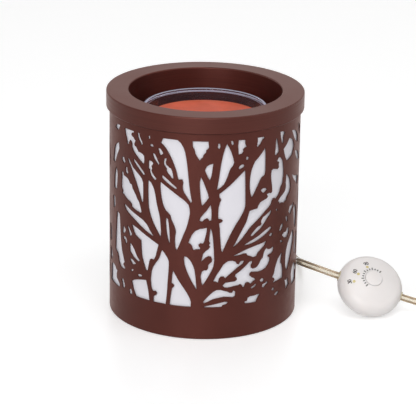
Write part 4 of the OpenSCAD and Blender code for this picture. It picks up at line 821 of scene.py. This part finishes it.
class WARMER_OT_strap(bpy.types.Operator):
    """Make the strap that holds the coil"""

    bl_idname = "warmer.strap"
    bl_label = "Coil strap"

    def loop(self):
        """Rounded box round the coil's turns, in millimetres."""
        (x0, z0), (x1, z1), r = STRAP_LOW, STRAP_HIGH, STRAP_ROUND
        corners = ((x1 - r, z0 + r, -90), (x1 - r, z1 - r, 0), (x0 + r, z1 - r, 90), (x0 + r, z0 + r, 180))
        bends = range(0, 91, STRAP_BEND)
        places = [(x, z, math.radians(start + a)) for x, z, start in corners for a in bends]
        return [Vector((x + r * math.cos(a), COIL_AT[1], z + r * math.sin(a))) for x, z, a in places]

    def execute(self, context):
        size = sizes()
        bm = bmesh.new()
        band = [(x, y) for y, x in flat_section(size.strap_w, -size.strap_t / 2, size.strap_t / 2)]
        sweep(bm, metres(self.loop()), band, Vector((0, 1, 0)), True)
        lift = STRAP_HIGH[1] + size.strap_t / MM
        tab = [(STRAP_LOW[0] + x, lift + z) for x, z in TAB_START]
        tab += [(STRAP_HIGH[0] + x, lift + z) for x, z in TAB_END]
        path = smooth_path(metres([Vector((x, COIL_AT[1], z)) for x, z in tab]), TAB_STEPS)
        sweep(bm, path, [(x, y * TAB_SHARE) for x, y in band], Vector((0, 1, 0)))
        strap = fixed_piece("coil_strap", bm, woven_strap(), "black_plastic", False)
        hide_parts("cord_tie")
        return {"FINISHED"}


class WARMER_OT_cords(bpy.types.Operator):
    """Make the flat twin cord, from its grip to the pod and on to the coil and the plug"""

    bl_idname = "warmer.cords"
    bl_label = "Cords"

    def core(self, bm, path, lift):
        """Strands that wind round each other inside one lobe of the jacket."""
        size = sizes()
        far, places = 0.0, []
        for i, (place, across, up) in enumerate(frames_along(path, UP)):
            far += (place - path[i - 1]).length if i else 0
            places.append((place + lift * up, across, up, 2 * math.pi * far / size.strand_pitch))
        for start in turns(STRANDS):
            line = [place + size.strand_ring * (math.cos(turn + start) * across + math.sin(turn + start) * up)
                    for place, across, up, turn in places]
            sweep(bm, line, circle(size.strand_r, STRAND_SIDES))

    def stretch(self, name, path, jacket, strands):
        """One stretch of cord: its jacket and its two cores."""
        size = sizes()
        bm = bmesh.new()
        sweep(bm, path, twin_section(size.cord_w, size.cord_t))
        cord = fixed_piece(name, bm, jacket, "cord_gold")
        bm = bmesh.new()
        for side in (-1, 1):
            self.core(bm, path, side * size.core_lift)
        return cord, fixed_piece(name + "_cores", bm, strands, "cord_gold")

    def execute(self, context):
        jacket, strands = clear_jacket(), core_strands()
        lead, tail = lead_path(), tail_path()
        lead_cord, lead_cores = self.stretch("lead_cord", lead, jacket, strands)
        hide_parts("cord_lead")
        tail_cord, tail_cores = self.stretch("tail_cord", tail, jacket, strands)
        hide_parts("cord_tail", "cord_coil")
        inner = smooth_path(metres(INNER_ROUTE), INNER_STEPS)
        inner_cord, _ = self.stretch("inner_cord", inner, jacket, strands)
        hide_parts("cord_inner")
        tuple(lead[0])
        path_length(lead)
        [tuple(p) for p in lead]
        tuple(tail[0])
        path_length(tail)
        [tuple(p) for p in tail]
        return {"FINISHED"}


class WARMER_OT_wires(bpy.types.Operator):
    """Make the insulated wires inside the body"""

    bl_idname = "warmer.wires"
    bl_label = "Wires"

    def execute(self, context):
        size = sizes()
        for name, routes, radius, tone, slot, node in (
            ("heater_wires", HEATER_ROUTES, size.heater_wire_r, (163, 58, 46), "lead_red", "heater_leads"),
            ("light_wires", LIGHT_ROUTES, size.light_wire_r, (232, 229, 222), "lead_white", "led_leads"),
        ):
            bm = bmesh.new()
            for route in routes:
                path = smooth_path(metres(route), WIRE_STEPS)
                sweep(bm, path, circle(radius, WIRE_SIDES), WIRE_SIDE)
            wires = fixed_piece(name, bm, plastic(name + "_sleeve", tone, 0.4), slot)
            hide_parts(node)
        return {"FINISHED"}


class WARMER_OT_sleeve(bpy.types.Operator):
    """Make the sleeve of thin sheet, with the solid's openings drawn out by what the sheet's edge hides"""

    bl_idname = "warmer.sleeve"
    bl_label = "Sleeve"

    def outlines(self, bm, radius):
        """Closed lines of points round the openings on the solid's outer face."""
        def outward(face):
            middle = face.calc_center_median().xy
            return face.normal.xy.dot(middle) > OUTWARDS * middle.length

        beside = {}
        for edge in bm.edges:
            on_face = all(v.co.xy.length > radius - ON_FACE for v in edge.verts)
            if on_face and len({outward(face) for face in edge.link_faces}) == 2:
                for v in edge.verts:
                    beside.setdefault(v, []).append(edge.other_vert(v))
        while beside:
            first = at = next(iter(beside))
            line = []
            while at in beside:
                line.append(at.co.copy())
                ways = beside.pop(at)
                at = next((v for v in ways if v in beside), first)
            if max(v.z for v in line) - min(v.z for v in line) > ON_FACE:
                yield line

    def in_trees(self, line):
        return min(p.z for p in line) > TREES_ABOVE * MM

    def openings(self, lines, turn, radius):
        """Outlines on one half as (distance round the sleeve, height), those of the trees drawn out."""
        tree_heights = [p.z for line in lines if self.in_trees(line) for p in line]
        for line in lines:
            if sum(p.y for p in line) * turn < 0:
                turned = [Vector((turn * p.x, turn * p.y, p.z)) for p in line]
                flat = [Vector((radius * math.atan2(p.x, -p.y), p.z)) for p in turned]
                if self.in_trees(line):
                    flat = self.widened(flat, radius, min(tree_heights), max(tree_heights))
                yield flat

    def crosses_itself(self, line):
        sides = list(zip(line, line[1:] + line[:1]))
        return any(intersect_line_line_2d(*one, *other) for k, one in enumerate(sides)
                   for other in sides[k + 2:] if one[0] is not other[1])

    def widened(self, flat, radius, low, high):
        """Outline drawn out by the first of the shifts that doesn't make it cross itself."""
        for part in SHIFTS:
            made = self.drawn_out(flat, radius, low, high, part * sizes().sheet_t)
            if not self.crosses_itself(made):
                return made
        raise ValueError("an opening's outline crosses itself")

    def drawn_out(self, flat, radius, low, high, sheet):
        """Outline with its far and lower sides moved outwards by what the sheet's edge hides."""
        studio = bpy.context.scene.warmer_studio
        area = sum(p.cross(q) for p, q in zip(flat, flat[1:] + flat[:1]))
        moved = []
        for i, p in enumerate(flat):
            into = (p - flat[i - 1]).normalized()
            out = (flat[(i + 1) % len(flat)] - p).normalized()
            side = Vector((into.y + out.y, -into.x - out.x)) * math.copysign(1, area)
            a = p.x / radius
            slant = a + math.atan2(radius * math.sin(a), studio.distance - radius * math.cos(a))
            slant = between(slant, -MOST_SLANT, MOST_SLANT)
            hidden = sheet * Vector((math.tan(slant), -math.tan(studio.elevation) / math.cos(slant)))
            share = between(0.5 + side.normalized().dot(hidden.normalized()) / SIDE_BLEND)
            fade = between((SEAM_NEAR - abs(a)) / SEAM_FADE)
            q = p + hidden * fade * share
            moved.append(Vector((q.x, between(q.y, low, high))))
        return moved

    def clear_of(self, p, line, room):
        """Whether a point lies outside an outline and not too near it."""
        inside = False
        for a, b in zip(line, line[1:] + line[:1]):
            if (a.y > p.y) != (b.y > p.y) and p.x < a.x + (p.y - a.y) / (b.y - a.y) * (b.x - a.x):
                inside = not inside
            t = between((p - a).dot(b - a) / max(NO_SQUARE, (b - a).length_squared))
            if (a + t * (b - a) - p).length < room:
                return False
        return not inside

    def reach(self, line):
        """Lowest and highest x, then lowest and highest y, between which an outline matters."""
        xs, ys = [p.x for p in line], [p.y for p in line]
        margin = OPENING_REACH * MM
        return min(xs) - margin, max(xs) + margin, min(ys) - margin, max(ys) + margin

    def half(self, lines, half_turn, low, high):
        """Triangles of half the sheet, laid flat, round its openings."""
        across = [half_turn * (2 * k / SHEET_COLUMNS - 1) for k in range(SHEET_COLUMNS + 1)]
        heights = [low + (high - low) * k / SHEET_ROWS for k in range(SHEET_ROWS + 1)]
        border = [Vector((x, low)) for x in across[:-1]]
        border += [Vector((half_turn, z)) for z in heights[:-1]]
        border += [Vector((x, high)) for x in across[:0:-1]]
        border += [Vector((-half_turn, z)) for z in heights[:0:-1]]
        reaches = [self.reach(line) for line in lines]

        def free(p, room):
            near = [line for line, (x0, x1, y0, y1) in zip(lines, reaches)
                    if x0 < p.x < x1 and y0 < p.y < y1]
            return all(self.clear_of(p, line, room) for line in near)

        points, edges = [], []
        for line in (border, *lines):
            start, count = len(points), len(line)
            points += line
            edges += [(start + k, start + (k + 1) % count) for k in range(count)]
        grid = [Vector((x, z)) for x in across[1:-1] for z in heights[1:-1]]
        points += [p for p in grid if free(p, OPENING_ROOM * MM)]
        points, _, faces, *_ = delaunay_2d_cdt(points, edges, [], 0, CUT_EXACT)
        for face in faces:
            middle = sum((points[k] for k in face), Vector((0, 0))) / 3
            if free(middle, 0):
                yield [points[k] for k in face]

    def sheet(self, lines, radius, flange, low, high):
        """Both halves of the sheet with their thickness, and the flange at the foot."""
        made = bmesh.new()
        inner, seat = radius - sizes().sheet_t, low + SOLID_SHEET * MM
        known, outer_edges = {}, {}

        def corner(turn, p, r, z):
            a = p.x / radius
            place = Vector((turn * r * math.sin(a), -turn * r * math.cos(a), z))
            key = tuple(round(c, CORNER_PLACES) for c in place)
            if key not in known:
                known[key] = made.verts.new(place)
            return known[key]

        for turn in (1, -1):
            here = list(self.openings(lines, turn, radius))
            for face in self.half(here, radius * math.pi / 2, low, high):
                ends = [(corner(turn, p, radius, p.y), corner(turn, p, inner, max(p.y, seat)), turn, p)
                        for p in face]
                made.faces.new([end[0] for end in ends])
                made.faces.new([end[1] for end in reversed(ends)])
                for one, other in zip(ends, ends[1:] + ends[:1]):
                    outer_edges.setdefault(frozenset((one[0], other[0])), []).append((one, other))
        for uses in outer_edges.values():
            if len(uses) == 2:
                continue
            (out_a, in_a, turn, p), (out_b, in_b, _, q) = uses[0]
            if max(p.y, q.y) > low + SAME_PLACE:
                made.faces.new((out_b, out_a, in_a, in_b))
                continue
            lip_a, lip_b = corner(turn, p, flange, low), corner(turn, q, flange, low)
            edge_a, edge_b = corner(turn, p, flange, seat), corner(turn, q, flange, seat)
            made.faces.new((out_b, out_a, lip_a, lip_b))
            made.faces.new((lip_b, lip_a, edge_a, edge_b))
            made.faces.new((edge_b, edge_a, in_a, in_b))
        return made

    def execute(self, context):
        solid = bmesh.new()
        solid.from_mesh(nodes["outer_sleeve"].data)
        bmesh.ops.remove_doubles(solid, verts=solid.verts, dist=SAME_PLACE)
        radii = [v.co.xy.length for v in solid.verts]
        heights = [v.co.z for v in solid.verts]
        lines = list(self.outlines(solid, max(radii)))
        solid.free()
        made = self.sheet(lines, max(radii), min(radii), min(heights), max(heights))
        sleeve = fixed_piece("sleeve", made, sheet_paint(), "sleeve_brown")
        sleeve.data.set_sharp_from_angle(angle=SHARP_FROM)
        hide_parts("outer_sleeve")
        return {"FINISHED"}


class WARMER_OT_solids(bpy.types.Operator):
    """Give the solids that stay their finishes"""

    bl_idname = "warmer.solids"
    bl_label = "Solids"

    def execute(self, context):
        plan = {
            spun_paint(): ("top_housing",),
            base_plastic(): ("base_tray", "cord_grip"),
            foot_rubber(): ("feet",),
            frosted_sheet(): ("diffuser",),
            clear_cup(): ("wax_cup",),
            melt_wax(): ("wax",),
            pod_plastic("pod_plastic", 2200, 0.00002): ("pod_upper_shell", "pod_lower_shell"),
            pod_plastic("button_plastic", 1400, 0.00006): ("timer_button",),
            moulded_gold(): ("cord_gland", "pod_bushes"),
            metal("zinc_steel", (190, 192, 196), 0.32, 500): (
                "heater_clamp", "clamp_screws", "tie_screws", "board_screws", "grip_screws", "pod_screws"),
            metal("plug_brass", (205, 170, 96), 0.25, 400): ("plug_blades",),
            metal("turned_aluminium", (200, 202, 205), 0.3, 300).rings(400, 0.00003, 0.6): ("heater_plate",),
            plastic("heater_ceramic", (220, 214, 203), 0.7): ("ptc_heater",),
            plastic("mica_sheet", (201, 185, 143), 0.5): ("mica_sheet",),
            plastic("fuse_case", (217, 217, 212), 0.4): ("thermal_fuse",),
            plastic("white_board", (233, 235, 230), 0.5): ("led_board",),
            plastic("green_board", (63, 122, 79), 0.45): ("pod_board",),
            plastic("clear_resin", (243, 233, 184), 0.2): ("led_chips", "indicator_leds"),
            plastic("dipped_red", (181, 56, 44), 0.3): ("dropper_capacitor",),
            plastic("ivory_plastic", (232, 229, 218), 0.45): ("terminal_block",),
            plastic("relay_blue", (45, 79, 143), 0.4): ("timer_relay",),
            plastic("amber_lens", (206, 190, 132), 0.25): ("indicator_lenses",),
            plastic("dark_plastic", (52, 51, 50), 0.5): ("switch_plunger", "press_switch"),
        }
        for finish, names in plan.items():
            for name in names:
                wear(nodes[name], finish)
        return {"FINISHED"}


class WARMER_PT_panel(bpy.types.Panel):
    """Wax warmer"""

    bl_idname = "WARMER_PT_panel"
    bl_label = "Wax warmer"
    bl_space_type = "VIEW_3D"
    bl_region_type = "UI"
    bl_category = "Wax warmer"

    def draw(self, context):
        for group in GROUPS:
            settings = getattr(context.scene, group)
            box = self.layout.box()
            for name in settings.__annotations__:
                box.prop(settings, name)
        for operator in OPERATORS:
            self.layout.operator(operator.bl_idname)


GROUPS = {"warmer_finishes": WarmerFinishes, "warmer_sizes": WarmerSizes, "warmer_studio": WarmerStudio}
OPERATORS = (WARMER_OT_stage, WARMER_OT_pod_print, WARMER_OT_plug, WARMER_OT_strap, WARMER_OT_cords,
             WARMER_OT_wires, WARMER_OT_sleeve, WARMER_OT_solids)


def register():
    for kind in (*GROUPS.values(), *OPERATORS, WARMER_PT_panel):
        bpy.utils.register_class(kind)
    for name, group in GROUPS.items():
        setattr(bpy.types.Scene, name, PointerProperty(type=group))


def unregister():
    for name in GROUPS:
        delattr(bpy.types.Scene, name)
    for kind in reversed((*GROUPS.values(), *OPERATORS, WARMER_PT_panel)):
        bpy.utils.unregister_class(kind)


def main():
    register()
    bpy.ops.warmer.stage()
    bpy.ops.warmer.pod_print()
    bpy.ops.warmer.plug()
    bpy.ops.warmer.strap()
    bpy.ops.warmer.cords()
    bpy.ops.warmer.wires()
    bpy.ops.warmer.sleeve()
    bpy.ops.warmer.solids()


if __name__ == "__main__":
    main()
